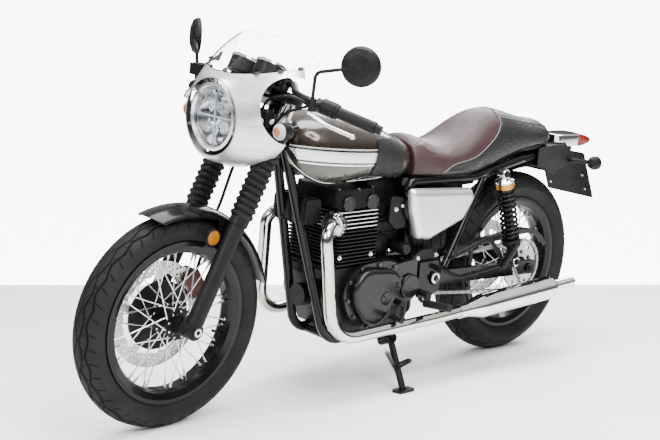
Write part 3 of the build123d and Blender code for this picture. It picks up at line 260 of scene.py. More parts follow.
class Effects:
    """The node groups that several finishes share, each built once."""

    def __init__(self) -> None:
        """Builds the groups."""
        self.mottle = self._mottle()
        self.tint = self._tint()
        self.relief = {skin: getattr(self, "_" + skin.value)() for skin in Skin if skin is not Skin.SMOOTH}
        self.upright = self._upright()

    @staticmethod
    def _start(name: str, inputs: dict[str, str], outputs: dict[str, str]) -> tuple[Bench, Node, Node]:
        """Opens a new group.

        Args:
            name: The group's name.
            inputs: Socket names and kinds, such as Float or Color.
            outputs: Socket names and kinds.

        Returns:
            A bench for the group, its input node and its output node.
        """
        tree = bpy.data.node_groups.new(name, "ShaderNodeTree")
        for way, sockets in (("INPUT", inputs), ("OUTPUT", outputs)):
            for socket, kind in sockets.items():
                tree.interface.new_socket(name=socket, in_out=way, socket_type="NodeSocket" + kind)
        bench = Bench(tree)
        return bench, bench.node("NodeGroupInput"), bench.node("NodeGroupOutput")

    def _mottle(self) -> Tree:
        """A value that wanders between two limits, for uneven gloss."""
        bench, given, out = self._start(
            "uneven_gloss", {"Scale": "Float", "Low": "Float", "High": "Float"}, {"Value": "Float"})
        patch = bench.noise(given.outputs["Scale"], 4.0)
        fine = bench.noise(bench.math("MULTIPLY", given.outputs["Scale"], 9.0), 2.0)
        mixed = bench.math("ADD", bench.math("MULTIPLY", patch, 0.7), bench.math("MULTIPLY", fine, 0.3))
        value = bench.span(mixed, 0.32, 0.68, given.outputs["Low"], given.outputs["High"])
        bench.feed(out.inputs["Value"], value)
        return bench.tree

    def _tint(self) -> Tree:
        """A colour that drifts towards a second one in soft patches."""
        bench, given, out = self._start(
            "drifting_colour", {"Colour": "Color", "Shade": "Color", "Scale": "Float"}, {"Colour": "Color"})
        share = bench.span(bench.noise(given.outputs["Scale"], 5.0), 0.35, 0.7)
        bench.feed(out.inputs["Colour"], bench.blend(share, given.outputs["Colour"], given.outputs["Shade"]))
        return bench.tree

    def _grain(self) -> Tree:
        """Fine pebbling, as on cast or moulded surfaces."""
        bench, given, out = self._start("fine_grain", {"Scale": "Float"}, {"Height": "Float"})
        bench.feed(out.inputs["Height"], bench.noise(given.outputs["Scale"], 4.0))
        return bench.tree

    def _brushed(self) -> Tree:
        """Long fine scratches along the bike."""
        bench, given, out = self._start("brush_marks", {"Scale": "Float"}, {"Height": "Float"})
        stretch = bench.node("Mapping")
        bench.feed(stretch.inputs["Vector"], bench.node("TexCoord").outputs["Object"])
        stretch.inputs["Scale"].default_value = (0.04, 1.0, 1.0)
        bench.feed(out.inputs["Height"], bench.noise(given.outputs["Scale"], 3.0, stretch.outputs[0]))
        return bench.tree

    def _leather(self) -> Tree:
        """Leather cells with creases between them."""
        bench, given, out = self._start("leather_cells", {"Scale": "Float"}, {"Height": "Float"})
        cells = bench.node("TexVoronoi", feature="DISTANCE_TO_EDGE")
        warp = bench.node("VectorMath", operation="ADD")
        coords = bench.node("TexCoord").outputs["Object"]
        wobble = bench.node("TexNoise")
        bench.feed(wobble.inputs["Vector"], coords)
        bench.feed(wobble.inputs["Scale"], bench.math("MULTIPLY", given.outputs["Scale"], 0.5))
        shrink = bench.node("VectorMath", operation="SCALE")
        bench.feed(shrink.inputs[0], wobble.outputs["Color"])
        shrink.inputs["Scale"].default_value = 0.004
        bench.feed(warp.inputs[0], coords)
        bench.feed(warp.inputs[1], shrink.outputs[0])
        bench.feed(cells.inputs["Vector"], warp.outputs[0])
        bench.feed(cells.inputs["Scale"], given.outputs["Scale"])
        crease = bench.span(cells.outputs["Distance"], 0.0, 0.14)
        pores = bench.math("MULTIPLY", bench.noise(bench.math("MULTIPLY", given.outputs["Scale"], 3.0)), 0.3)
        bench.feed(out.inputs["Height"], bench.math("ADD", crease, pores))
        return bench.tree

    def _crinkle(self) -> Tree:
        """The puckered skin of a vacuum-formed vinyl cover."""
        bench, given, out = self._start("crinkled_skin", {"Scale": "Float"}, {"Height": "Float"})
        cells = bench.node("TexVoronoi", feature="SMOOTH_F1")
        bench.feed(cells.inputs["Vector"], bench.node("TexCoord").outputs["Object"])
        bench.feed(cells.inputs["Scale"], given.outputs["Scale"])
        rough = bench.noise(bench.math("MULTIPLY", given.outputs["Scale"], 0.6), 5.0)
        folds = bench.math("ABSOLUTE", bench.math("SUBTRACT", rough, 0.5))
        height = bench.math("ADD", cells.outputs["Distance"], bench.math("MULTIPLY", folds, 3.0))
        bench.feed(out.inputs["Height"], height)
        return bench.tree

    def _upright(self) -> Tree:
        """Where a point of a fixed piece lies in the upright drawing, in mm."""
        bench, _, out = self._start("upright_place", {}, {"Ahead": "Float", "Left": "Float", "Up": "Float"})
        place = bench.node("Mapping")
        lean = Matrix.Rotation(radians(PARKED.lean), 3, "X")
        place.inputs["Location"].default_value = lean @ -Vector(PARKED.shift)
        place.inputs["Rotation"].default_value = (radians(PARKED.lean), 0, 0)
        place.inputs["Scale"].default_value = (1 / MM,) * 3
        bench.feed(place.inputs["Vector"], bench.node("TexCoord").outputs["Object"])
        parts = bench.node("SeparateXYZ")
        bench.feed(parts.inputs[0], place.outputs[0])
        for socket, source in zip(out.inputs, parts.outputs):
            bench.feed(socket, source)
        return bench.tree


@dataclass(frozen=True)
class Finish:
    """A surface finish: two tones, a range of gloss and a fine relief."""

    name: str
    slot: str
    colour: Colour
    shade: Colour
    gloss: Flat = (0.35, 0.5)
    skin_scale: float = 900.0
    skin_depth: float = 0.08
    metal: float = 0.0
    coat: float = 0.0
    skin: Skin = Skin.GRAIN
    patch: float = 14.0
    shine: float = 0.5
    coat_gloss: float = 0.06

    def base_colour(self, bench: Bench, effects: Effects) -> Socket:
        """Makes the colour that the finish shows."""
        return bench.group(effects.tint, "Colour", Colour=self.colour, Shade=self.shade, Scale=self.patch)

    def height(self, bench: Bench, effects: Effects) -> Socket | None:
        """Makes the relief.

        Args:
            bench: The material's bench.
            effects: The shared groups.

        Returns:
            The height's socket, or none on a smooth finish.
        """
        if self.skin is Skin.SMOOTH:
            return None
        return bench.group(effects.relief[self.skin], "Height", Scale=self.skin_scale)

    def extras(self, bench: Bench, shader: Node, effects: Effects) -> None:
        """Sets what only some finishes have; a plain one has nothing."""

    def build(self, effects: Effects) -> Material:
        """Makes the material.

        Args:
            effects: The shared groups.

        Returns:
            The material, ready to assign.
        """
        material = bpy.data.materials.new(self.name)
        material.use_nodes = True
        bench = Bench(material.node_tree)
        shader = material.node_tree.nodes["Principled BSDF"]
        bench.feed(shader.inputs["Base Color"], self.base_colour(bench, effects))
        low, high = self.gloss
        uneven = bench.group(effects.mottle, "Value", Scale=self.patch * 3, Low=low, High=high)
        bench.feed(shader.inputs["Roughness"], uneven)
        shader.inputs["Metallic"].default_value = self.metal
        shader.inputs["Specular IOR Level"].default_value = self.shine
        shader.inputs["Coat Weight"].default_value = self.coat
        shader.inputs["Coat Roughness"].default_value = self.coat_gloss
        height = self.height(bench, effects)
        if height is not None:
            bump = bench.node("Bump")
            bump.inputs["Strength"].default_value = self.skin_depth
            bump.inputs["Distance"].default_value = MM
            bench.feed(bump.inputs["Height"], height)
            bench.feed(shader.inputs["Normal"], bump.outputs[0])
        self.extras(bench, shader, effects)
        return material


@dataclass(frozen=True)
class Clear(Finish):
    """Glass or clear plastic."""

    through: float = 1.0
    bend: float = 1.45

    def extras(self, bench: Bench, shader: Node, effects: Effects) -> None:
        """Lets light through."""
        shader.inputs["Transmission Weight"].default_value = self.through
        shader.inputs["IOR"].default_value = self.bend


@dataclass(frozen=True)
class Glow(Finish):
    """A lamp part that shines a little."""

    strength: float = 1.0

    def extras(self, bench: Bench, shader: Node, effects: Effects) -> None:
        """Adds the light that it gives off."""
        shader.inputs["Emission Color"].default_value = (*self.colour, 1)
        shader.inputs["Emission Strength"].default_value = self.strength


@dataclass(frozen=True)
class TankPaint(Finish):
    """Metallic paint with a broad side stripe between two thin ones, and a paler lower half."""

    stripe: Colour = (0.74, 0.75, 0.74)
    edge: Colour = (0.008, 0.007, 0.006)
    under: Colour = (0.05, 0.048, 0.04)
    under_fade: Flat = (800.0, 742.0)
    flake: Colour = (0.5, 0.4, 0.3)
    flake_scale: float = 3600.0
    flake_floor: float = 0.62
    flake_share: float = 0.03
    stripe_in: float = 60.0
    top_front: Flat = (1114.0, 824.0)
    low_front: Flat = (1081.0, 769.0)
    top_rear: Flat = (812.0, 805.0)
    bands: tuple[tuple[float, float, bool], ...] = (
        (0.0, 0.09, True), (0.09, 0.2, False), (0.2, 0.8, True), (0.8, 0.91, False), (0.91, 1.0, True))

    def base_colour(self, bench: Bench, effects: Effects) -> Socket:
        """Makes the paint with its stripe.

        Args:
            bench: The material's bench.
            effects: The shared groups.

        Returns:
            The colour's socket.
        """
        ahead = bench.group(effects.upright, "Ahead")
        up = bench.group(effects.upright, "Up")
        left = bench.group(effects.upright, "Left")
        base = Finish.base_colour(self, bench, effects)
        flakes = bench.node("TexVoronoi")
        bench.feed(flakes.inputs["Vector"], bench.node("TexCoord").outputs["Object"])
        flakes.inputs["Scale"].default_value = self.flake_scale
        bright = bench.math("GREATER_THAN", flakes.outputs["Color"], self.flake_floor)
        base = bench.blend(bench.math("MULTIPLY", bright, self.flake_share), base, self.flake)
        base = bench.blend(bench.span(up, *self.under_fade), base, self.under)
        # How far up the stripe a point is, from 0 to 1.
        rise = (self.top_front[1] - self.top_rear[1]) / (self.top_front[0] - self.top_rear[0])
        tall = self.top_front[1] - self.low_front[1] - rise * (self.top_front[0] - self.low_front[0])
        behind = bench.math("SUBTRACT", ahead, self.top_front[0])
        top = bench.math("ADD", bench.math("MULTIPLY", behind, rise), self.top_front[1])
        across = bench.math("ADD", bench.math("DIVIDE", bench.math("SUBTRACT", up, top), tall), 1.0)
        slant = (self.top_front[0] - self.low_front[0]) / (self.top_front[1] - self.low_front[1])
        lean = bench.math("MULTIPLY", bench.math("SUBTRACT", up, self.top_front[1]), slant)
        fore = bench.math("LESS_THAN", bench.math("SUBTRACT", ahead, lean), self.top_front[0])
        aft = bench.math("GREATER_THAN", bench.math("SUBTRACT", ahead, lean), self.top_rear[0])
        outside = bench.math("GREATER_THAN", bench.math("ABSOLUTE", left), self.stripe_in)
        room = bench.math("MULTIPLY", bench.math("MULTIPLY", fore, aft), outside)
        for low, high, light in self.bands:
            above = bench.math("GREATER_THAN", across, low)
            inside = bench.math("MULTIPLY", above, bench.math("LESS_THAN", across, high))
            colour = self.stripe if light else self.edge
            base = bench.blend(bench.math("MULTIPLY", inside, room), base, colour)
        return base


@dataclass(frozen=True)
class TreadRubber(Finish):
    """Tyre rubber with painted shade down in its grooves, told by the tyre's own attribute."""

    # Painted shade for the bottoms of the grooves, blended in by groove depth.
    painted_groove_shade: Colour = (0.0004, 0.0004, 0.0004)
    attribute: str = "groove"

    def base_colour(self, bench: Bench, effects: Effects) -> Socket:
        """Paints shade into the grooves."""
        cut = bench.node("Attribute", attribute_name=self.attribute).outputs["Fac"]
        return bench.blend(cut, Finish.base_colour(self, bench, effects), self.painted_groove_shade)


@dataclass(frozen=True)
class SeatCover(Finish):
    """Smooth leather in front and crinkled vinyl behind, told apart by the seat's own attribute."""

    rear: Colour = (0.008, 0.008, 0.0085)
    attribute: str = "rear_panel"

    def _panel(self, bench: Bench) -> Socket:
        """Reads how far a point is on the rear panel."""
        return bench.node("Attribute", attribute_name=self.attribute).outputs["Fac"]

    def base_colour(self, bench: Bench, effects: Effects) -> Socket:
        """Mixes the two covers."""
        front = Finish.base_colour(self, bench, effects)
        return bench.blend(self._panel(bench), front, self.rear)

    def height(self, bench: Bench, effects: Effects) -> Socket:
        """Mixes leather cells with crinkled vinyl.

        Args:
            bench: The material's bench.
            effects: The shared groups.

        Returns:
            The height's socket.
        """
        panel = self._panel(bench)
        cells = bench.group(effects.relief[Skin.LEATHER], "Height", Scale=self.skin_scale)
        folds = bench.group(effects.relief[Skin.CRINKLE], "Height", Scale=self.skin_scale * 0.16)
        plain = bench.math("MULTIPLY", cells, bench.math("SUBTRACT", 1.0, panel))
        return bench.math("ADD", plain, bench.math("MULTIPLY", bench.math("MULTIPLY", folds, panel), 5.0))


FINISHES: tuple[Finish, ...] = (
    Finish("satin_black", "black_paint", (0.004, 0.004, 0.0045), (0.006, 0.006, 0.0065), (0.32, 0.42), 1400,
           0.05, shine=0.12),
    Finish("gloss_black", "black_paint", (0.003, 0.003, 0.0034), (0.0045, 0.0045, 0.005), (0.14, 0.22), 500,
           0.02, coat=0.05, shine=0.16),
    Finish("fork_black", "black_paint", (0.0042, 0.0042, 0.0047), (0.0055, 0.0055, 0.006), (0.42, 0.52),
           1600, 0.06, shine=0.14),
    Finish("cast_black", "engine_black", (0.0035, 0.0035, 0.0038), (0.006, 0.0058, 0.0058), (0.3, 0.44),
           1100, 0.06, shine=0.14),
    Finish("cover_black", "engine_black", (0.003, 0.003, 0.0033), (0.0042, 0.0042, 0.0046), (0.26, 0.31),
           260, 0.004, coat=0.06, shine=0.25),
    Finish("bright_alloy", "bright_alloy", (0.72, 0.72, 0.73), (0.6, 0.6, 0.61), (0.2, 0.34), 900, 0.05,
           metal=1.0, skin=Skin.BRUSHED),
    Finish("chrome", "chrome", (0.86, 0.86, 0.87), (0.82, 0.82, 0.84), (0.03, 0.08), 60, 0.004, metal=1.0),
    Finish("hot_chrome", "chrome", (0.68, 0.67, 0.65), (0.6, 0.56, 0.49), (0.03, 0.08), 60, 0.005,
           metal=1.0, patch=6),
    Finish("spoke_steel", "steel", (0.74, 0.74, 0.75), (0.6, 0.6, 0.62), (0.18, 0.3), 2000, 0.05,
           metal=1.0),
    Finish("disc_steel", "steel", (0.5, 0.49, 0.47), (0.4, 0.39, 0.38), (0.28, 0.44), 1600, 0.12, metal=1.0,
           skin=Skin.BRUSHED),
    Finish("chain_steel", "steel", (0.36, 0.34, 0.31), (0.24, 0.23, 0.22), (0.32, 0.5), 1500, 0.15,
           metal=1.0),
    Finish("gold_anodised", "bright_alloy", (0.62, 0.33, 0.08), (0.5, 0.24, 0.05), (0.22, 0.34), 900, 0.05,
           metal=1.0, skin=Skin.BRUSHED),
    Finish("silver_panel", "silver_paint", (0.66, 0.67, 0.67), (0.6, 0.61, 0.61), (0.28, 0.36), 1900, 0.03,
           metal=0.8, coat=0.2),
    TankPaint("bronze_tank", "tank_paint", (0.021, 0.013, 0.0082), (0.015, 0.0098, 0.0066), (0.22, 0.32),
              300, 0.01, metal=0.6, coat=0.8),
    SeatCover("seat_cover", "leather", (0.027, 0.0085, 0.0098), (0.02, 0.0066, 0.0076), (0.36, 0.5), 700,
              0.3, skin=Skin.LEATHER, shine=0.4),
    Finish("piping", "leather", (0.12, 0.11, 0.108), (0.1, 0.094, 0.092), (0.45, 0.6), 1500, 0.2),
    TreadRubber("tyre_rubber", "tyre", (0.0075, 0.0075, 0.008), (0.011, 0.011, 0.0116), (0.55, 0.7), 1200,
                0.18, patch=9, shine=0.12),
    Finish("soft_rubber", "rubber", (0.0045, 0.0045, 0.005), (0.0065, 0.0065, 0.007), (0.42, 0.56), 1300,
           0.12, shine=0.16),
    Finish("pad_rubber", "rubber", (0.011, 0.011, 0.0118), (0.014, 0.014, 0.0148), (0.5, 0.6), 1500, 0.2,
           shine=0.15),
    Finish("moulded_black", "black_plastic", (0.004, 0.004, 0.0044), (0.0055, 0.0055, 0.006), (0.4, 0.52),
           1700, 0.12, shine=0.14),
    Finish("moulded_grey", "grey_plastic", (0.013, 0.0133, 0.0142), (0.0105, 0.0108, 0.0115), (0.42, 0.52),
           1700, 0.2, shine=0.2),
    Clear("screen_clear", "screen", (0.97, 0.98, 0.985), (0.95, 0.965, 0.975), (0.01, 0.03), 40, 0.003,
          through=1.0, bend=1.12),
    Clear("lens_clear", "lens", (0.97, 0.98, 0.99), (0.95, 0.96, 0.98), (0.01, 0.03), 80, 0.004,
          through=1.0, bend=1.18),
    Clear("amber_lens", "amber", (0.3, 0.105, 0.0006), (0.22, 0.068, 0.0004), (0.1, 0.2), 700, 0.3,
          patch=30, shine=0.15, through=0.0),
    Clear("red_lens", "tail_red", (0.28, 0.003, 0.006), (0.2, 0.002, 0.004), (0.08, 0.16), 500, 0.1,
          coat=0.2, patch=30, through=0.2),
    Clear("signal_lens", "smoke_lens", (0.62, 0.6, 0.59), (0.45, 0.42, 0.41), (0.08, 0.16), 600, 0.25,
          coat=0.4, patch=30, through=0.3, bend=1.3),
    Glow("lamp_white", "lens", (0.7, 0.72, 0.75), (0.6, 0.62, 0.66), (0.1, 0.2), 400, 0.02, coat=0.3,
         strength=0.35),
    Finish("mirror_glass", "chrome", (0.8, 0.82, 0.84), (0.78, 0.8, 0.82), (0.01, 0.02), 30, 0.001,
           metal=1.0),
    Finish("dial_face", "black_plastic", (0.005, 0.005, 0.006), (0.007, 0.007, 0.008), (0.5, 0.6), 1500,
           0.05, shine=0.12),
    Finish("dial_mark", "silver_paint", (0.8, 0.8, 0.78), (0.72, 0.72, 0.7), (0.4, 0.5), 1500, 0.05),
    Finish("red_brown", "black_paint", (0.045, 0.007, 0.005), (0.034, 0.0055, 0.004), (0.3, 0.4), 1200, 0.1,
           metal=0.2, shine=0.25),
    Finish("bulb_amber", "amber", (0.32, 0.1, 0.05), (0.26, 0.07, 0.03), (0.2, 0.3), 900, 0.2, coat=0.2),
    Finish("thread", "leather", (0.09, 0.04, 0.042), (0.07, 0.032, 0.034), (0.6, 0.7), 2500, 0.3),
    Finish("lamp_silver", "chrome", (0.9, 0.9, 0.92), (0.55, 0.56, 0.58), (0.06, 0.16), 90, 0.05, metal=1.0,
           patch=40),
    Finish("bolt_dark", "steel", (0.1, 0.1, 0.105), (0.075, 0.075, 0.08), (0.26, 0.4), 1600, 0.08,
           metal=1.0),
)

# The solids that each finish goes on.
DRESSED: dict[str, tuple[str, ...]] = {
    "bolt_dark": ("front_axle",),
    "fork_black": ("fork_sliders",),
    "chrome": ("fork_tubes", "mufflers", "filler_cap"),
    "soft_rubber": ("fork_gaiters", "grips", "front_brake_hose", "rider_pegs"),
    "satin_black": ("lower_clamp", "upper_clamp", "handlebar", "front_hub", "rear_hub", "passenger_pegs",
        "pedals", "side_stand"),
    "moulded_black": ("switchgear", "mirrors", "front_indicators", "instruments", "throttle_bodies",
        "airbox", "plate_holder", "rear_indicators"),
    "bright_alloy": ("levers", "headlamp"),
    "lens_clear": ("headlamp_lens",),
    "silver_panel": ("fairing", "side_covers"),
    "screen_clear": ("windscreen",),
    "gloss_black": ("front_fender", "front_rim", "rear_rim", "main_frame", "swingarm", "shock_absorbers"),
    "red_brown": ("front_caliper",),
    "amber_lens": ("reflectors",),
    "tyre_rubber": ("front_tyre", "rear_tyre"),
    "spoke_steel": ("front_spokes", "rear_spokes"),
    "disc_steel": ("front_disc", "rear_disc", "rear_sprocket"),
    "cast_black": ("crankcase", "cylinder_block", "cylinder_head", "rear_caliper"),
    "cover_black": ("left_engine_covers", "right_engine_covers"),
    "hot_chrome": ("header_pipes",),
    "bronze_tank": ("fuel_tank",),
    "pad_rubber": ("knee_pads",),
    "seat_cover": ("seat",),
    "moulded_grey": ("rear_fender", "chain_guard"),
    "red_lens": ("tail_lamp",),
    "chain_steel": ("chain",),
}


@dataclass
class Shape:
    """Points and faces of one or more closed forms, in the upright drawing."""

    points: list[Vector] = field(default_factory=list)
    faces: list[tuple[int, ...]] = field(default_factory=list)

    def add(self, other: "Shape") -> "Shape":
        """Takes in another shape.

        Args:
            other: The shape to take in.

        Returns:
            This shape.
        """
        first = len(self.points)
        self.points.extend(other.points)
        self.faces.extend(tuple(first + spot for spot in face) for face in other.faces)
        return self

    def mirrored(self) -> "Shape":
        """Takes in its own image across the middle of the bike."""
        points = [Vector((spot.x, -spot.y, spot.z)) for spot in self.points]
        return self.add(Shape(points, [tuple(reversed(face)) for face in self.faces]))


def frame_of(way: Vector) -> Matrix:
    """Finds a turn that takes z to a given way."""
    return way.normalized().to_track_quat("Z", "Y").to_matrix().to_4x4()


def rings(rows: list[list[Vector]], close_ends: bool = True, loop: bool = False) -> Shape:
    """Skins a row of closed rings.

    Args:
        rows: Rings with the same number of points.
        close_ends: Whether the first and last ring are filled.
        loop: Whether the last ring joins the first.

    Returns:
        The skinned shape.
    """
    wide = len(rows[0])
    made = Shape([spot for row in rows for spot in row])
    for low in range(len(rows) if loop else len(rows) - 1):
        high = (low + 1) % len(rows)
        for spot in range(wide):
            after = (spot + 1) % wide
            corners = ((low, spot), (low, after), (high, after), (high, spot))
            made.faces.append(tuple(row * wide + place for row, place in corners))
    if close_ends and not loop:
        made.faces.append(tuple(reversed(range(wide))))
        made.faces.append(tuple(range((len(rows) - 1) * wide, len(rows) * wide)))
    return made


def circle(radius: float, sides: int, cx: float = 0.0, cy: float = 0.0) -> list[Flat]:
    """Draws a circle about a middle as a flat outline, anticlockwise."""
    angles = [2 * pi * k / sides for k in range(sides)]
    return [(cx + radius * cos(angle), cy + radius * sin(angle)) for angle in angles]


def lathe(base: Vector, way: Vector, profile: list[Flat], sides: int = 32, closed: bool = False) -> Shape:
    """Turns a profile about an axis.

    Args:
        base: A point on the axis.
        way: The axis.
        profile: Pairs of distance along the axis and radius.
        sides: How many sides each ring has.
        closed: Whether the profile's end joins its start, as on a ring.

    Returns:
        The turned shape.
    """
    turn = Matrix.Translation(base) @ frame_of(way)
    corners = circle(1, sides)
    rows = [[turn @ Vector((radius * a, radius * b, along)) for a, b in corners] for along, radius in profile]
    return rings(rows, not closed, closed)


def tube(path: list[Vector], radius: float, sides: int = 10, loop: bool = False) -> Shape:
    """Runs a round tube along a path.

    Args:
        path: The points that it follows.
        radius: Its radius.
        sides: How many sides it has.
        loop: Whether the path closes on itself.

    Returns:
        The tube.
    """
    rows = []
    normal = None
    corners = circle(1, sides)
    count = len(path)
    for spot, here in enumerate(path):
        before = path[(spot - 1) % count] if loop or spot else here
        after = path[(spot + 1) % count] if loop or spot < count - 1 else here
        way = (after - before).normalized()
        if normal is None:
            normal = way.orthogonal().normalized()
        normal = (normal - way * normal.dot(way)).normalized()
        side = way.cross(normal)
        rows.append([here + (normal * a + side * b) * radius for a, b in corners])
    return rings(rows, True, loop)


def smooth_path(points: list[Point], steps: int = 8, loop: bool = False) -> list[Vector]:
    """Rounds a path through its points.

    Args:
        points: Points that the path goes through.
        steps: Points per stretch.
        loop: Whether it closes on itself.

    Returns:
        The finer path.
    """
    spots = [Vector(p) for p in points]
    count = len(spots)
    path = []
    for k in range(count if loop else count - 1):
        a, b = spots[k], spots[(k + 1) % count]
        before = spots[(k - 1) % count] if loop or k else a
        after = spots[(k + 2) % count] if loop or k + 2 < count else b
        start, end = (b - before) * 0.5, (after - a) * 0.5
        for step in range(steps):
            t = step / steps
            at_a, at_b = 2 * t**3 - 3 * t**2 + 1, 3 * t**2 - 2 * t**3
            from_a, to_b = t**3 - 2 * t**2 + t, t**3 - t**2
            path.append(a * at_a + start * from_a + b * at_b + end * to_b)
    if not loop:
        path.append(spots[-1])
    return path


def slab(outline: list[Flat], base: Vector, right: Vector, up: Vector, thick: float) -> Shape:
    """Makes a plate from a flat outline.

    Args:
        outline: Its corners, anticlockwise.
        base: Where the outline's origin lies.
        right: The outline's first direction.
        up: Its second direction.
        thick: How far the plate goes along right cross up.

    Returns:
        The plate.
    """
    way = right.cross(up).normalized() * thick
    low = [base + right * a + up * b for a, b in outline]
    return rings([low, [spot + way for spot in low]])


def rounded(wide: float, tall: float, radius: float, steps: int = 5) -> list[Flat]:
    """Draws a rounded rectangle about the origin.

    Args:
        wide: Its width.
        tall: Its height.
        radius: Its corner radius.
        steps: Stretches per corner.

    Returns:
        Its outline, anticlockwise.
    """
    spots = []
    for corner, (sx, sy) in enumerate(((1, 1), (-1, 1), (-1, -1), (1, -1))):
        cx, cy = sx * (wide / 2 - radius), sy * (tall / 2 - radius)
        for step in range(steps + 1):
            angle = (corner + step / steps) * pi / 2
            spots.append((cx + radius * cos(angle), cy + radius * sin(angle)))
    return spots


def bolt(base: Vector, way: Vector, radius: float, tall: float, socket: bool = False) -> Shape:
    """Makes a bolt head, six-sided with a washer or round with a hollow.

    Args:
        base: Where it sits.
        way: The way that it faces.
        radius: Its radius.
        tall: Its height.
        socket: Whether it is a round socket head.

    Returns:
        The head.
    """
    if socket:
        dip = [(0, radius), (tall * 0.85, radius), (tall, radius * 0.88), (tall, radius * 0.52),
               (tall * 0.4, radius * 0.46)]
        return lathe(base, way, dip, 16)
    head = lathe(base, way, [(0, radius * 1.3), (tall * 0.2, radius * 1.3), (tall * 0.22, radius * 1.0)], 18)
    return head.add(lathe(base, way, [(tall * 0.2, radius), (tall * 0.9, radius), (tall, radius * 0.86)], 6))


def bolt_ring(middle: Vector, way: Vector, reach: float, first: float, count: int, head: Flat,
              socket: bool = True) -> Shape:
    """Makes a ring of bolt heads that face the bike's side.

    Args:
        middle: The ring's middle.
        way: The way that the heads face.
        reach: The ring's radius.
        first: The angle of the first head, in degrees.
        count: How many heads there are.
        head: Each head's radius and height.
        socket: Whether they are round socket heads.

    Returns:
        The heads.
    """
    heads = Shape()
    for spot in range(count):
        angle = radians(first + 360 * spot / count)
        heads.add(bolt(middle + (AHEAD * cos(angle) + UP * sin(angle)) * reach, way, *head, socket))
    return heads


def box(low: Point, high: Point, corner: float) -> Shape:
    """Makes an upright box with round corners seen from the side.

    Args:
        low: Its lowest corner.
        high: Its highest corner.
        corner: Its corner radius.

    Returns:
        The box.
    """
    a, b = Vector(low), Vector(high)
    middle = (a + b) / 2
    outline = rounded(b.x - a.x, b.z - a.z, corner)
    rows = []
    for y, shrink in ((a.y, 0.94), (a.y + 3, 1.0), (b.y - 3, 1.0), (b.y, 0.94)):
        rows.append([Vector((middle.x + p * shrink, y, middle.z + q * shrink)) for p, q in outline])
    return rings(rows)


def put(name: str, data: bpy.types.ID) -> Item:
    """Puts a new object in the scene.

    Args:
        name: Its name.
        data: Its mesh, light or camera.

    Returns:
        The object.
    """
    item = bpy.data.objects.new(name, data)
    bpy.context.scene.collection.objects.link(item)
    return item


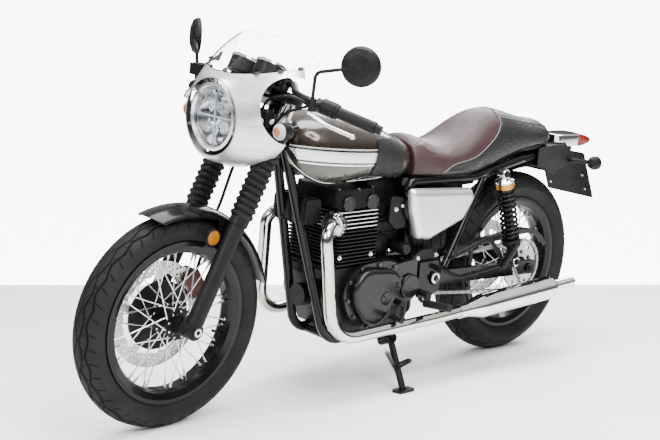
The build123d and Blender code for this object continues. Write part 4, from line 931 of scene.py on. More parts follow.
@dataclass
class Workshop:
    """Makes pieces out of shapes and gives solids their finish."""

    nodes: dict[str, Item]
    materials: dict[str, Material]
    slots: dict[str, str]
    effects: Effects
    made: int = 0

    @classmethod
    def open(cls, nodes: dict[str, Item]) -> "Workshop":
        """Builds all finishes.

        Args:
            nodes: The solids by name.

        Returns:
            A workshop with its materials ready.
        """
        effects = Effects()
        materials = {finish.name: finish.build(effects) for finish in FINISHES}
        return cls(nodes, materials, {finish.name: finish.slot for finish in FINISHES}, effects)

    def dress_solids(self) -> None:
        """Gives each solid the finish that the table names."""
        for finish, names in DRESSED.items():
            for name in names:
                materials = self.nodes[name].data.materials
                materials.clear()
                materials.append(self.materials[finish])

    def line_inside(self, name: str, middle: Point, finish: str) -> None:
        """Gives the inner faces of a hollow solid a finish of their own.

        Args:
            name: The solid's name.
            middle: A point inside the hollow, in the upright drawing.
            finish: The name of the finish.
        """
        solid = self.nodes[name]
        heart = PARKED.matrix(Body.STEERING) @ Vector(middle)
        solid.data.materials.append(self.materials[finish])
        for face in solid.data.polygons:
            if face.normal.dot(face.center - heart) < 0:
                face.material_index = 1

    def touch(self, names: tuple[str, ...], x: float, z: float, side: int) -> Vector | None:
        """Finds where fixed solids are first met from one side.

        Args:
            names: The solids.
            x: The place ahead in the upright drawing.
            z: The height.
            side: 1 to look from the left, -1 from the right.

        Returns:
            The first spot met, or none.
        """
        place = PARKED.matrix(Body.FRAME)
        home = place.inverted()
        start = place @ Vector((x, side * OUTSIDE, z))
        way = (place.to_3x3() @ (LEFT * -side)).normalized()
        met = []
        for name in names:
            found, hit, _, _ = self.nodes[name].ray_cast(start, way)
            if found:
                met.append(home @ hit)
        return max(met, key=lambda spot: side * spot.y, default=None)

    def settle(self, piece: Item, body: Body, finish: str, smooth: float = 35.0, bevel: float = 0.0) -> Item:
        """Gives a piece its finish, shading and body.

        Args:
            piece: A mesh object in the row frame.
            body: The body that it rides on.
            finish: The name of its finish.
            smooth: The largest angle, in degrees, that is shaded as a curve.
            bevel: The width, in mm, that its edges are rounded by.

        Returns:
            The piece.
        """
        mesh = piece.data
        if not mesh.materials:
            mesh.materials.append(self.materials[finish])
        mesh.polygons.foreach_set("use_smooth", [True] * len(mesh.polygons))
        mesh.set_sharp_from_angle(angle=radians(smooth))
        if bevel:
            edge = piece.modifiers.new("round_edges", "BEVEL")
            edge.width = bevel * MM
            edge.segments = 2
            edge.limit_method = "ANGLE"
        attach(piece, body.value)
        self.made += 1
        LOG.info("%s: %d faces on %s", piece.name, len(mesh.polygons), body.value)
        return piece

    def cut_plate(
        self, name: str, loops: list[list[Flat]], place: Matrix, thick: float, body: Body, finish: str
    ) -> Item:
        """Makes a plate with holes.

        Args:
            name: The piece's name.
            loops: The outline first, then the holes.
            place: Where the plate's middle plane lies in the upright drawing.
            thick: Its thickness.
            body: The body that it rides on.
            finish: The name of its finish.

        Returns:
            The piece.
        """
        curve = bpy.data.curves.new(name, "CURVE")
        curve.dimensions = "2D"
        curve.fill_mode = "BOTH"
        curve.extrude = thick / 2
        for loop in loops:
            spline = curve.splines.new("POLY")
            spline.points.add(len(loop) - 1)
            for spot, (a, b) in zip(spline.points, loop):
                spot.co = (a, b, 0, 1)
            spline.use_cyclic_u = True
        stand_in = bpy.data.objects.new(name + "_outline", curve)
        mesh = bpy.data.meshes.new_from_object(stand_in)
        bpy.data.objects.remove(stand_in)
        mesh.name = name
        tidy = bmesh.new()
        tidy.from_mesh(mesh)
        bmesh.ops.remove_doubles(tidy, verts=tidy.verts, dist=1e-4)
        tidy.to_mesh(mesh)
        tidy.free()
        mesh.materials.clear()
        mesh.transform(PARKED.matrix(body) @ place)
        return self.settle(put(name, mesh), body, finish, 30)


def arc(start: Flat, middle: Flat, end: Flat, steps: int) -> list[Flat]:
    """Draws an arc through three points.

    Args:
        start: Its first point.
        middle: A point that it passes.
        end: Its last point.
        steps: How many stretches it has.

    Returns:
        The points along it.
    """
    (ax, ay), (bx, by), (cx, cy) = start, middle, end
    twice = 2 * (ax * (by - cy) + bx * (cy - ay) + cx * (ay - by))
    ox = ((ax**2 + ay**2) * (by - cy) + (bx**2 + by**2) * (cy - ay) + (cx**2 + cy**2) * (ay - by)) / twice
    oy = ((ax**2 + ay**2) * (cx - bx) + (bx**2 + by**2) * (ax - cx) + (cx**2 + cy**2) * (bx - ax)) / twice
    first, mid, last = (atan2(y - oy, x - ox) for x, y in (start, middle, end))
    turn = (last - first) % (2 * pi)
    if (mid - first) % (2 * pi) > turn:
        turn -= 2 * pi
    radius = sqrt((ax - ox) ** 2 + (ay - oy) ** 2)
    angles = [first + turn * k / steps for k in range(steps + 1)]
    return [(ox + radius * cos(angle), oy + radius * sin(angle)) for angle in angles]


@dataclass
class SubAssembly:
    """A group of pieces made in the workshop, most of them on one body."""

    shop: Workshop
    body: Body = Body.FRAME

    def make(
        self, name: str, shape: Shape, finish: str, smooth: float = 35.0, bevel: float = 0.0,
        body: Body | None = None,
    ) -> Item:
        """Makes a piece from a shape in the upright drawing.

        Args:
            name: The piece's name.
            shape: Its points and faces.
            finish: The name of its finish.
            smooth: The largest angle, in degrees, that is shaded as a curve.
            bevel: The width, in mm, that its edges are rounded by.
            body: The body that it rides on, where that isn't the group's own.

        Returns:
            The piece.
        """
        body = body or self.body
        mesh = bpy.data.meshes.new(name)
        mesh.from_pydata(shape.points, [], shape.faces)
        tidy = bmesh.new()
        tidy.from_mesh(mesh)
        bmesh.ops.recalc_face_normals(tidy, faces=tidy.faces)
        tidy.to_mesh(mesh)
        tidy.free()
        mesh.transform(PARKED.matrix(body))
        return self.shop.settle(put(name, mesh), body, finish, smooth, bevel)


@dataclass(kw_only=True)
class Wheel(SubAssembly):
    """One wheel: treaded tyre, nipples, brake disc and hub bolts."""

    centre: Point
    tyre_r: float
    tyre_half: float
    rim_r: float
    rim_half: float
    flange_y: float
    disc_y: float
    disc_r: float
    disc_inner: float
    disc_lug: float
    pitches: int = 44
    spoke_pairs: int = 9
    spoke_foot_r: float = 39.0
    spoke_swing: float = 54.0
    lugs: int = 5
    first_lug: float = 18.0
    lug_half: float = 11.0
    disc_thick: float = 5.0
    hole_r: float = 3.7
    hole_groups: int = 30
    hole_rows: tuple[Flat, ...] = ((0.16, 0.0), (0.38, 0.34), (0.6, 0.68), (0.82, 1.02))
    zigzag_depth: float = 4.0
    zigzags: tuple[Point, ...] = (
        (0.0, 0.09, 0.0), (0.25, 0.07, 0.5), (-0.25, 0.07, 0.0), (0.5, 0.07, 0.0), (-0.5, 0.07, 0.5))
    side_cut_depth: float = 2.6
    side_cuts: tuple[tuple[float, ...], ...] = ((0.3, 0.46, -1.2, 0.2), (0.56, 0.92, 0.9, 0.0))
    wall_ring: float = 1.4
    valve_turn: float = 200.0

    @property
    def name(self) -> str:
        """The word that its pieces' names start with."""
        return "front" if self.body is Body.FRONT_WHEEL else "rear"

    def tyre(self) -> None:
        """Makes the tyre with its zigzag grooves."""
        bead = self.rim_half - 6.3
        lip = self.rim_r + 0.3
        widest = lip + 0.45 * (self.tyre_r - lip)
        waist = ((bead + self.tyre_half) / 2 + 3, (lip + widest) / 2 - 2)
        crown = arc((self.tyre_half, widest), (0, self.tyre_r), (-self.tyre_half, widest), 80)
        wall = arc((bead, lip), waist, (self.tyre_half, widest), 9)
        other = [(-y, r) for y, r in reversed(wall)]
        profile = np.array([(bead - 4, lip - 12)] + wall[:-1] + crown + other[1:] + [(4 - bead, lip - 12)])
        share = np.full(len(profile), 2.0)
        share[len(wall): len(wall) + len(crown)] = np.linspace(1, -1, len(crown))
        around = 16 * self.pitches
        angle = np.linspace(0, 2 * pi, around, endpoint=False)
        depth = self.groove(angle[:, None] * self.pitches / (2 * pi), share[None, :])
        # A raised ring runs round each wall near the rim.
        for ring in (4, len(profile) - 5):
            depth[:, ring] = -self.wall_ring
        slope = np.gradient(profile, axis=0)
        slope /= np.linalg.norm(slope, axis=1)[:, None]
        # The profile runs from the left bead over the crown, so this points out of the tyre.
        out_y, out_r = slope[:, 1], -slope[:, 0]
        y = profile[None, :, 0] - out_y[None, :] * depth
        r = profile[None, :, 1] - out_r[None, :] * depth
        x = self.centre[0] + r * np.cos(angle)[:, None]
        z = self.centre[2] + r * np.sin(angle)[:, None]
        spots = np.stack([x, np.broadcast_to(y, x.shape), z], axis=-1).reshape(-1, 3)
        wide = len(profile)
        row, col = np.meshgrid(np.arange(around), np.arange(wide), indexing="ij")
        after_row, after_col = (row + 1) % around, (col + 1) % wide
        corners = ((row, col), (row, after_col), (after_row, after_col), (after_row, col))
        quads = np.stack([a * wide + b for a, b in corners], -1)
        shape = Shape([Vector(p) for p in spots], [tuple(q) for q in quads.reshape(-1, 4).tolist()])
        piece = self.make(self.name + "_treaded_tyre", shape, "tyre_rubber", 50)
        # The groove depth is kept on the mesh as the mask for the painted shade in the grooves.
        cut = piece.data.attributes.new("groove", "FLOAT", "POINT")
        cut.data.foreach_set("value", np.clip(depth / 2.5, 0, 1).astype(np.float32).ravel())
        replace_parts(piece, self.name + "_tyre")

    def groove(self, turn: np.ndarray, share: np.ndarray) -> np.ndarray:
        """Says how deep the tread is cut.

        Args:
            turn: The place round the tyre, in tread pitches.
            share: The place across the crown, from -1 to 1; more on the walls.

        Returns:
            The depth in mm at each point.
        """
        pitch = 2 * pi * self.tyre_r / self.pitches
        reach = self.tyre_half * 1.45
        depth = np.zeros(np.broadcast(turn, share).shape)
        for line, swing, phase in self.zigzags:
            zigzag = np.abs(((turn / 2 + phase) % 1.0) * 2 - 1) * 2 - 1
            gap = np.abs(share - line - swing * zigzag) * reach
            depth = np.maximum(depth, self.zigzag_depth * np.clip(2.3 - gap / 1.3, 0, 1))
        edge = np.abs(share)
        for start, stop, tilt, phase in self.side_cuts:
            cut = np.abs(((turn + phase + tilt * (edge - start) * np.sign(share)) % 1.0) - 0.5) * pitch
            inside = np.clip((edge - start) * 30, 0, 1) * np.clip((stop - edge) * 12, 0, 1)
            depth = np.maximum(depth, self.side_cut_depth * inside * np.clip(2.1 - cut / 1.3, 0, 1))
        return np.where(np.broadcast_to(edge, depth.shape) > 1, 0, depth)

    def nipples(self) -> None:
        """Makes the spoke nipples at the rim and the spoke bends at the hub."""
        shape = Shape()
        centre = Vector(self.centre)
        well = self.rim_r - 37
        for side in (1, -1):
            for pair in range(self.spoke_pairs):
                for lace in (1, -1):
                    start = radians(360 * (pair + 0.25 * side) / self.spoke_pairs + 4 * lace)
                    end = start + radians(self.spoke_swing * lace)
                    low = centre + Vector((cos(start), 0, sin(start))) * self.spoke_foot_r
                    low.y += side * (self.flange_y + 3 * lace)
                    high = centre + Vector((cos(end), 0, sin(end))) * (well + 3)
                    high.y += side * (6 + 3 * lace)
                    way = (high - low).normalized()
                    seat = high - way * 24
                    shape.add(lathe(seat, way, [(0, 2.6), (2, 3.3), (13, 3.6), (14, 4.6), (21, 4.8)], 8))
                    out = LEFT * side * lace
                    shape.add(lathe(low + out * 3.6, out, [(-1.0, 3.4), (1.2, 3.4), (2.2, 2.2)], 8))
        self.make(self.name + "_nipples", shape, "spoke_steel")

    def disc(self) -> None:
        """Makes the drilled brake disc."""
        inner = []
        steps = 26
        wide = self.lug_half / self.disc_inner
        for lug in range(self.lugs):
            middle = radians(self.first_lug + 360 * lug / self.lugs)
            for step in range(steps):
                angle = middle + wide + (2 * pi / self.lugs - 2 * wide) * step / (steps - 1)
                reach = self.disc_inner + 2.4 * cos(9 * (angle - middle) * self.lugs / 2)
                inner.append((reach * cos(angle), reach * sin(angle)))
            following = middle + 2 * pi / self.lugs
            for step in range(7):
                angle = following + (step / 6 - 0.5) * 2 * self.lug_half / self.disc_lug
                inner.append((self.disc_lug * cos(angle), self.disc_lug * sin(angle)))
        loops = [circle(self.disc_r, 120), inner]
        for group in range(self.hole_groups):
            for share, lag in self.hole_rows:
                radius = self.disc_inner + 3 + (self.disc_r - self.disc_inner - 4) * share
                angle = 2 * pi * (group + lag) / self.hole_groups
                loops.append(circle(self.hole_r, 10, radius * cos(angle), radius * sin(angle)))
        centre = Vector(self.centre)
        middle = Matrix.Translation(centre + LEFT * (self.disc_y - self.disc_thick / 2))
        place = middle @ Matrix.Rotation(pi / 2, 4, "X")
        name = self.name + "_drilled_disc"
        piece = self.shop.cut_plate(name, loops, place, self.disc_thick, self.body, "disc_steel")
        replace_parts(piece, self.name + "_disc")
        face = centre + LEFT * (self.disc_y - self.disc_thick)
        bolts = bolt_ring(face, -LEFT, self.disc_lug + 8, self.first_lug, self.lugs, (6, 4))
        self.make(self.name + "_disc_bolts", bolts, "bolt_dark")

    def hub_trim(self) -> None:
        """Makes the ring of bolts on the hub's left and the valve in the rim."""
        centre = Vector(self.centre)
        bolts = bolt_ring(centre + LEFT * (self.flange_y + 5.6), LEFT, 32, 12, 6, (3.4, 3.0))
        self.make(self.name + "_hub_bolts", bolts, "bolt_dark")
        if self.body is Body.FRONT_WHEEL:
            ring = [(0, 7.5), (0, 12), (1.2, 12), (1.8, 10.8), (1.8, 8.2), (1.2, 7.5)]
            cap = lathe(centre + LEFT * 129, LEFT, ring, 28, True)
            self.make("axle_rings", cap.mirrored(), "bright_alloy", body=Body.STEERING)
        way = Vector((cos(radians(self.valve_turn)), 0, sin(radians(self.valve_turn))))
        foot = centre + way * (self.rim_r - 36)
        stem = [(0, 6), (3, 6), (3.2, 3.4), (24, 3.4), (24.2, 4.6), (33, 4.4), (34, 3)]
        self.make(self.name + "_valve", lathe(foot, -way, stem, 12), "soft_rubber")

    def build(self) -> None:
        """Builds the wheel's pieces."""
        self.tyre()
        self.nipples()
        self.disc()
        self.hub_trim()


@dataclass
class Drive(SubAssembly):
    """The chain of links and the sprocket's bolts."""

    front: Flat = (640.0, 350.0)
    front_r: float = 40.0
    rear: Flat = (0.0, 332.0)
    rear_r: float = 93.6
    middle_y: float = 85.0
    pitch: float = 15.875
    plate_half: float = 6.4
    pin_line: tuple[Flat, ...] = ((0.0, 2.0), (0.5, 2.6), (16.3, 2.6), (16.8, 2.0))

    def loop(self) -> list[Vector]:
        """Draws the chain's line as closely spaced points.

        Returns:
            Points round both sprockets.
        """
        gap = self.front[0] - self.rear[0]
        drop = self.front[1] - self.rear[1]
        lean = atan2(drop, gap)
        tilt = (self.rear_r - self.front_r) / gap
        spots = []
        top, low = pi / 2 + lean - tilt, -pi / 2 + lean + tilt
        rear = (self.rear, self.rear_r, top, 2 * pi - (top - low), 60)
        front = (self.front, self.front_r, low, top - low, 40)
        for (x, z), radius, first, turn, steps in (rear, front):
            for step in range(steps + 1):
                angle = first + turn * step / steps
                spots.append(Vector((x + radius * cos(angle), self.middle_y, z + radius * sin(angle))))
        return spots

    def pins(self) -> list[Vector]:
        """Spaces the pins evenly round the loop.

        Returns:
            An even number of pin middles.
        """
        spots = self.loop()
        ends = spots[1:] + spots[:1]
        whole = sum((b - a).length for a, b in zip(spots, ends))
        count = 2 * round(whole / self.pitch / 2)
        wanted = [whole * k / count for k in range(count)]
        pins, run = [], 0.0
        for a, b in zip(spots, ends):
            length = (b - a).length
            while wanted and run <= wanted[0] < run + length + 1e-9:
                pins.append(a.lerp(b, (wanted.pop(0) - run) / length))
            run += length
        return pins

    def link(self, a: Vector, b: Vector, outer: bool) -> Shape:
        """Makes one link between two pins.

        Args:
            a: The first pin.
            b: The second pin.
            outer: Whether its plates lie outside those of its neighbours.

        Returns:
            Two plates and a roller.
        """
        along = (b - a).normalized()
        up = LEFT.cross(along)
        half = (b - a).length / 2
        outline = []
        for end, first in ((half, -1.1), (-half, pi - 1.1)):
            for step in range(6):
                angle = first + 2.2 * step / 5
                outline.append((end + self.plate_half * cos(angle), self.plate_half * sin(angle)))
            outline.append((end * 0.2, (1 if end > 0 else -1) * self.plate_half * 0.72))
        middle = (a + b) / 2
        shape = Shape()
        reach = 7.0 if outer else 4.6
        for side in (1, -1):
            shape.add(slab(outline, middle + LEFT * side * reach, along, up, 1.6))
        shape.add(lathe(a - LEFT * 4.2, LEFT, [(0, 4.8), (8.4, 4.8)], 10))
        if outer:
            for pin in (a, b):
                shape.add(lathe(pin - LEFT * 8.4, LEFT, list(self.pin_line), 8))
        return shape

    def build(self) -> None:
        """Builds the chain and the sprocket's bolts."""
        pins = self.pins()
        shape = Shape()
        for spot, pin in enumerate(pins):
            shape.add(self.link(pin, pins[(spot + 1) % len(pins)], spot % 2 == 0))
        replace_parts(self.make("chain_links", shape, "chain_steel", 40), "chain")
        middle = Vector((self.rear[0], self.middle_y + 3, self.rear[1]))
        bolts = bolt_ring(middle, LEFT, 50, 30, 6, (6, 6), False)
        self.make("sprocket_bolts", bolts, "bolt_dark", body=Body.REAR_WHEEL)


@dataclass
class Shocks(SubAssembly):
    """The pair of rear shocks with open coils."""

    top: Point = (216.0, 148.0, 694.0)
    low: Point = (114.0, 148.0, 374.0)
    coil_r: float = 27.0
    wire: float = 4.5
    turns: int = 11

    def build(self) -> None:
        """Builds the coils, dampers, adjusters and eyes."""
        low, top = Vector(self.low), Vector(self.top)
        way = (top - low).normalized()
        whole = (top - low).length
        coil, damper, gold, eyes, boot = Shape(), Shape(), Shape(), Shape(), Shape()
        turn = Matrix.Translation(low) @ frame_of(way)
        start, stop = 92.0, whole - 56.0
        spots = []
        count = self.turns * 28
        for step in range(count + 1):
            share = step / count
            # The end coils lie closer, as on a ground spring.
            squeeze = share - 0.02 * sin(2 * pi * share)
            angle = 2 * pi * self.turns * share
            up = start + (stop - start) * squeeze
            spots.append(turn @ Vector((self.coil_r * cos(angle), self.coil_r * sin(angle), up)))
        coil.add(tube(spots, self.wire, 10))
        damper.add(lathe(low, way, [(66, 22), (70, 33), (84, 33), (88, 30), (88, 17), (whole - 58, 17)], 32))
        damper.add(lathe(low, way, [(88, 12), (whole - 50, 12)], 20))
        boot_line = [(14, 15.0)]
        for rib in range(9):
            boot_line += [(16 + rib * 5.6, 15), (18 + rib * 5.6, 19.5), (20 + rib * 5.6, 19.5)]
        boot.add(lathe(low, way, boot_line + [(67, 16)], 28))
        ribs = [(whole - 52, 26)]
        for notch in range(3):
            ribs += [(whole - 50 + notch * 6, 33), (whole - 47 + notch * 6, 33), (whole - 46 + notch * 6, 31)]
        gold.add(lathe(low, way, ribs + [(whole - 32, 26)], 32))
        cap = ((33, 29), (30, 33), (24, 33), (20, 24), (14, 15), (8, 12))
        eyes.add(lathe(low, way, [(whole - down, radius) for down, radius in cap], 32))
        eye = [(0, 11), (0, 15), (2, 17), (28, 17), (30, 15), (30, 11), (0, 11)]
        for end in (low, top):
            eyes.add(lathe(end - LEFT * 15, LEFT, eye, 28, True))
            damper.add(bolt(end + LEFT * 15.2, LEFT, 9, 9))
            damper.add(lathe(end - LEFT * 15, LEFT, [(0, 10.9), (30, 10.9)], 24))
        coil_piece = self.make("shock_coils", coil.mirrored(), "gloss_black", 60)
        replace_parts(coil_piece, "shock_absorbers")
        self.make("shock_dampers", damper.mirrored(), "cast_black")
        self.make("shock_adjusters", gold.mirrored(), "gold_anodised")
        self.make("shock_eyes", eyes.mirrored(), "chrome")
        self.make("shock_boots", boot.mirrored(), "soft_rubber")


@dataclass
class Cushion(SubAssembly):
    """The soft seat: a blown-up cover with two panels, piping and stitches."""

    grain: float = 6.0
    start_in: float = 2.5
    pressure: float = 4.0
    frames: int = 20
    reach: float = 4.0
    stiffness: float = 30.0
    held_below: float = 712.0
    held_ahead: float = 596.0
    border_sink: float = 2.4
    border_half: float = 11.0
    border: tuple[Flat, ...] = (
        (498, 700), (484, 716), (440, 738), (354, 754), (290, 784), (230, 822), (201, 844), (181, 862),
        (172, 900))
    left_border: tuple[Point, ...] = (
        (498, 134, 704), (484, 134, 716), (440, 136, 738), (354, 136, 754), (290, 132, 784), (230, 118, 822),
        (201, 98, 844), (181, 66, 864), (170, 30, 880))
    hump_edge: tuple[Point, ...] = (
        (168, 66, 866), (110, 74, 868), (40, 76, 866), (-40, 66, 856), (-90, 54, 842), (-130, 38, 818))

    def line(self, up: float) -> float:
        """Finds how far ahead the panels' border is at a height."""
        heights = [z for _, z in self.border]
        return float(np.interp(up, heights, [x for x, _ in self.border]))

    @staticmethod
    def bake(piece: Item) -> None:
        """Takes a piece's modifiers into its mesh.

        Args:
            piece: The object.
        """
        mesh = bpy.data.meshes.new_from_object(piece.evaluated_get(bpy.context.evaluated_depsgraph_get()))
        piece.modifiers.clear()
        old = piece.data
        piece.data = mesh
        bpy.data.meshes.remove(old)

    def skin(self, solid: Item) -> Item:
        """Copies the seat's solid as an even, soft-edged mesh.

        Args:
            solid: The seat's solid.

        Returns:
            The new object.
        """
        piece = put("seat_cushion", solid.data.copy())
        even = piece.modifiers.new("even", "REMESH")
        even.mode = "VOXEL"
        even.voxel_size = self.grain * MM
        soft = piece.modifiers.new("soft", "SMOOTH")
        soft.factor = 0.5
        soft.iterations = 6
        self.bake(piece)
        mesh = piece.data
        for spot in mesh.vertices:
            spot.co -= spot.normal * self.start_in * MM
        return piece

    def blow(self, piece: Item) -> None:
        """Blows the cover up with its base held.

        Args:
            piece: The cushion.
        """
        mesh = piece.data
        home = PARKED.matrix(Body.FRAME).inverted()
        held = piece.vertex_groups.new(name="held")
        for spot in mesh.vertices:
            place = home @ spot.co
            if place.z < self.held_below or place.x > self.held_ahead or spot.normal.z < -0.6:
                held.add([spot.index], 1.0, "REPLACE")
        before = [spot.co.copy() for spot in mesh.vertices]
        cloth = piece.modifiers.new("cover", "CLOTH")
        cloth.settings.use_pressure = True
        cloth.settings.uniform_pressure_force = self.pressure
        cloth.settings.vertex_group_mass = "held"
        cloth.settings.tension_stiffness = self.stiffness
        cloth.settings.compression_stiffness = self.stiffness
        cloth.settings.effector_weights.gravity = 0.0
        cloth.point_cache.frame_end = self.frames
        for moment in range(1, self.frames + 1):
            bpy.context.scene.frame_set(moment)
        self.bake(piece)
        bpy.context.scene.frame_set(1)
        for spot, first in zip(piece.data.vertices, before):
            step = spot.co - first
            if step.length > self.reach * MM:
                spot.co = first + step.normalized() * self.reach * MM

    def panels(self, piece: Item) -> None:
        """Marks the rear panel and sinks the border between the two.

        Args:
            piece: The cushion.
        """
        mesh = piece.data
        home = PARKED.matrix(Body.FRAME).inverted()
        mark = mesh.attributes.new("rear_panel", "FLOAT", "POINT")
        for spot in mesh.vertices:
            place = home @ spot.co
            past = self.line(place.z) - place.x
            mark.data[spot.index].value = min(1.0, max(0.0, past / 4 + 0.5))
            sink = max(0.0, 1 - abs(past) / self.border_half)
            spot.co -= spot.normal * self.border_sink * sink * sink * MM

    def surface_path(self, piece: Item, path: list[Vector], lift: float) -> list[Vector]:
        """Lays a path on the cushion.

        Args:
            piece: The cushion.
            path: Points near it, in the upright drawing.
            lift: How far above it the path runs.

        Returns:
            The path on its surface, in the upright drawing.
        """
        place = PARKED.matrix(Body.FRAME)
        home = place.inverted()
        laid = []
        for spot in path:
            found, hit, normal, _ = piece.closest_point_on_mesh(place @ spot)
            if found:
                laid.append(home @ (hit + normal * lift * MM))
        return laid

    def border_path(self) -> list[Vector]:
        """Draws the border from the left bottom edge over the hump to the right."""
        right = ((x, -y, z) for x, y, z in reversed(self.left_border))
        return smooth_path([*self.left_border, (168, 0, 884), *right], 10)

    def build(self) -> None:
        """Builds the cushion, its piping and its stitches."""
        piece = self.skin(self.shop.nodes["seat"])
        self.blow(piece)
        self.panels(piece)
        piece.data.materials.clear()
        finer = piece.modifiers.new("finer", "SUBSURF")
        finer.levels = finer.render_levels = 1
        self.bake(piece)
        self.shop.settle(piece, self.body, "seat_cover", 80)
        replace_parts(piece, "seat")
        path = self.surface_path(piece, self.border_path(), 0.9)
        piping = tube(path, 1.8, 8)
        for side in (1, -1):
            edge = smooth_path([(x, side * y, z) for x, y, z in self.hump_edge], 8)
            piping.add(tube(self.surface_path(piece, edge, 0.8), 1.9, 8))
        self.make("seat_piping", piping, "piping", 60)
        stitches = Shape()
        row = self.surface_path(piece, [spot + Vector((9, 0, 5)) for spot in self.border_path()], 0.4)
        for a, b in zip(row[::2], row[1::2]):
            if 0.5 < (b - a).length < 30:
                stitches.add(tube([a.lerp(b, 0.1), a.lerp(b, 0.5) + UP * 0.5, a.lerp(b, 0.9)], 0.8, 6))
        self.make("seat_stitches", stitches, "thread", 60)


@dataclass
class Nose(SubAssembly):
    """The headlamp's inside, the dials, the screen's fasteners and the mirrors' glass."""

    body: Body = Body.STEERING
    lamp_face: float = 1362.0
    lamp_z: float = 906.0
    lens_r: float = 83.2
    dial_r: float = 45.0
    dial_up: float = 738.0
    dial_ahead: float = 84.0
    dial_tall: float = 46.0
    mirror: Point = (1149.0, 356.0, 1093.0)
    mirror_r: float = 55.0
    mirror_turn: float = 30.0
    needle_turn: float = 215.0
    bowl: tuple[Flat, ...] = (
        (-58, 0.5), (-58, 38), (-40, 57), (-22, 76), (-13, 81.5), (-11, 81.5), (-11, 80.5), (-21, 74),
        (-39, 55), (-56, 37), (-56.5, 0.5))
    screen_fasteners: tuple[Point, ...] = (
        (1322, 0, 1036), (1303, 110, 1032), (1303, -110, 1032), (1260, 165, 1048), (1260, -165, 1048),
        (1201, 190, 1062), (1201, -190, 1062))
    fastener_line: tuple[Flat, ...] = (
        (-6, 4), (-1, 4), (0, 9), (1.2, 9), (1.6, 7), (4.2, 6.2), (4.6, 3), (2.6, 2.8))
    rider_side: Point = (1150.0, 0.0, 950.0)
    signal: Point = (1262.0, 200.0, 893.0)
    reflector: Point = (50.0, 85.0, 262.0)

    def lamp(self) -> None:
        """Makes the reflector, the cross and the domed glass."""
        base = Vector((self.lamp_face, 0, self.lamp_z))
        self.make("lamp_reflector", lathe(base, AHEAD, list(self.bowl), 64), "lamp_silver")
        cross, glow = Shape(), Shape()
        for turn, (right, up) in enumerate(((UP, -LEFT), (LEFT, UP))):
            cross.add(slab(rounded(156, 15, 5), base - AHEAD * 24, right, up, 9 + turn))
            glow.add(slab(rounded(140, 5, 2), base - AHEAD * 13.4, right, up, 2 + 0.4 * turn))
        cross.add(lathe(base, AHEAD, [(-30, 24), (-14, 24), (-12, 20), (-12, 14)], 40))
        for spot in range(4):
            angle = radians(45 + 90 * spot)
            place = base + Vector((-40, 38 * cos(angle), 38 * sin(angle)))
            cross.add(lathe(place, AHEAD, [(0, 19), (13, 22), (13, 19), (6, 16)], 28))
            glow.add(lathe(place, AHEAD, [(4, 15), (9, 13), (12, 8), (13, 2)], 24))
        self.make("lamp_cross", cross, "chrome", 35, 0.8)
        self.make("lamp_glow", glow, "lamp_white")
        rim = [(-9.6, self.lens_r - 0.4), (-4.6, self.lens_r)]
        dome = [(0.5, 73), (4, 58), (6.4, 36), (7.6, 14), (7.8, 0.5)]
        inner = [(5.2, 0.5), (4.8, 16), (3.4, 36), (1.4, 56), (-2, 71), (-9.6, self.lens_r - 3)]
        form = lathe(base, AHEAD, rim + dome + inner, 64)
        glass = self.make("lamp_glass", form, "lens_clear", 50)
        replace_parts(glass, "headlamp_lens")

    def dials(self) -> None:
        """Makes the dials' rings, faces, marks and needles."""
        up = PARKED.fork_up()
        ring, face, marks, needle = Shape(), Shape(), Shape(), Shape()
        r = self.dial_r
        bezel = [(-6, r), (-6, r + 1.5), (1, r + 1.5), (3.4, r), (3.4, r - 3), (0.3, r - 4), (0.3, r - 0.5)]
        blade = [(-8, -1.2), (r - 10, -0.4), (r - 10, 0.4), (-8, 1.2)]
        spin = frame_of(up).to_3x3()
        aim = radians(self.needle_turn)
        pointer = spin @ Vector((cos(aim), sin(aim), 0))
        for side in (1, -1):
            top = PARKED.fork_point(self.dial_ahead, side * 54, self.dial_up + self.dial_tall)
            ring.add(lathe(top, up, bezel, 48, True))
            face.add(lathe(top, up, [(0.1, 0.5), (0.1, r - 2), (0.9, r - 4), (0.9, 0.5)], 48))
            for tick in range(37):
                angle = radians(-40 + 260 * tick / 36)
                way = spin @ Vector((cos(angle), sin(angle), 0))
                mark = rounded(7 if tick % 4 == 0 else 4, 0.9, 0.3, 2)
                marks.add(slab(mark, top + way * (r - 9) + up * 0.8, way, up.cross(way), 0.5))
            needle.add(slab(blade, top + up * 1.2, pointer, up.cross(pointer), 0.8))
            needle.add(lathe(top, up, [(0.6, 5), (2.6, 4.6), (3, 3)], 20))
        self.make("dial_rings", ring, "chrome")
        self.make("dial_faces", face, "dial_face")
        self.make("dial_marks", marks, "dial_mark")
        self.make("dial_needles", needle, "red_lens")

    def glass(self) -> None:
        """Makes the mirrors' glass."""
        way = Vector((cos(radians(self.mirror_turn)), sin(radians(self.mirror_turn)), 0))
        back = Vector(self.mirror) - way * 9
        r = self.mirror_r
        edge = [(-4, r), (-4, r + 1), (1, r + 1), (2.2, r - 1), (2.2, r - 3), (0, r - 3.5)]
        rim = lathe(back, -way, edge, 48, True)
        glass = lathe(back, -way, [(-0.5, r - 3), (0.9, r - 3), (1.1, r - 6), (1.2, 1)], 48)
        self.make("mirror_glass", glass.mirrored(), "mirror_glass")
        self.make("mirror_rims", rim.mirrored(), "moulded_black")

    def screen_bolts(self) -> None:
        """Makes the fasteners along the screen's lower edge."""
        place = PARKED.matrix(Body.STEERING)
        home = place.inverted()
        shape = Shape()
        for near in self.screen_fasteners:
            _, hit, normal, _ = self.shop.nodes["windscreen"].closest_point_on_mesh(place @ Vector(near))
            spot = home @ hit
            way = (home.to_3x3() @ normal).normalized()
            if way.dot(spot - Vector(self.rider_side)) < 0:
                way = -way
            shape.add(lathe(spot, way, list(self.fastener_line), 24))
        self.make("screen_bolts", shape, "bolt_dark")

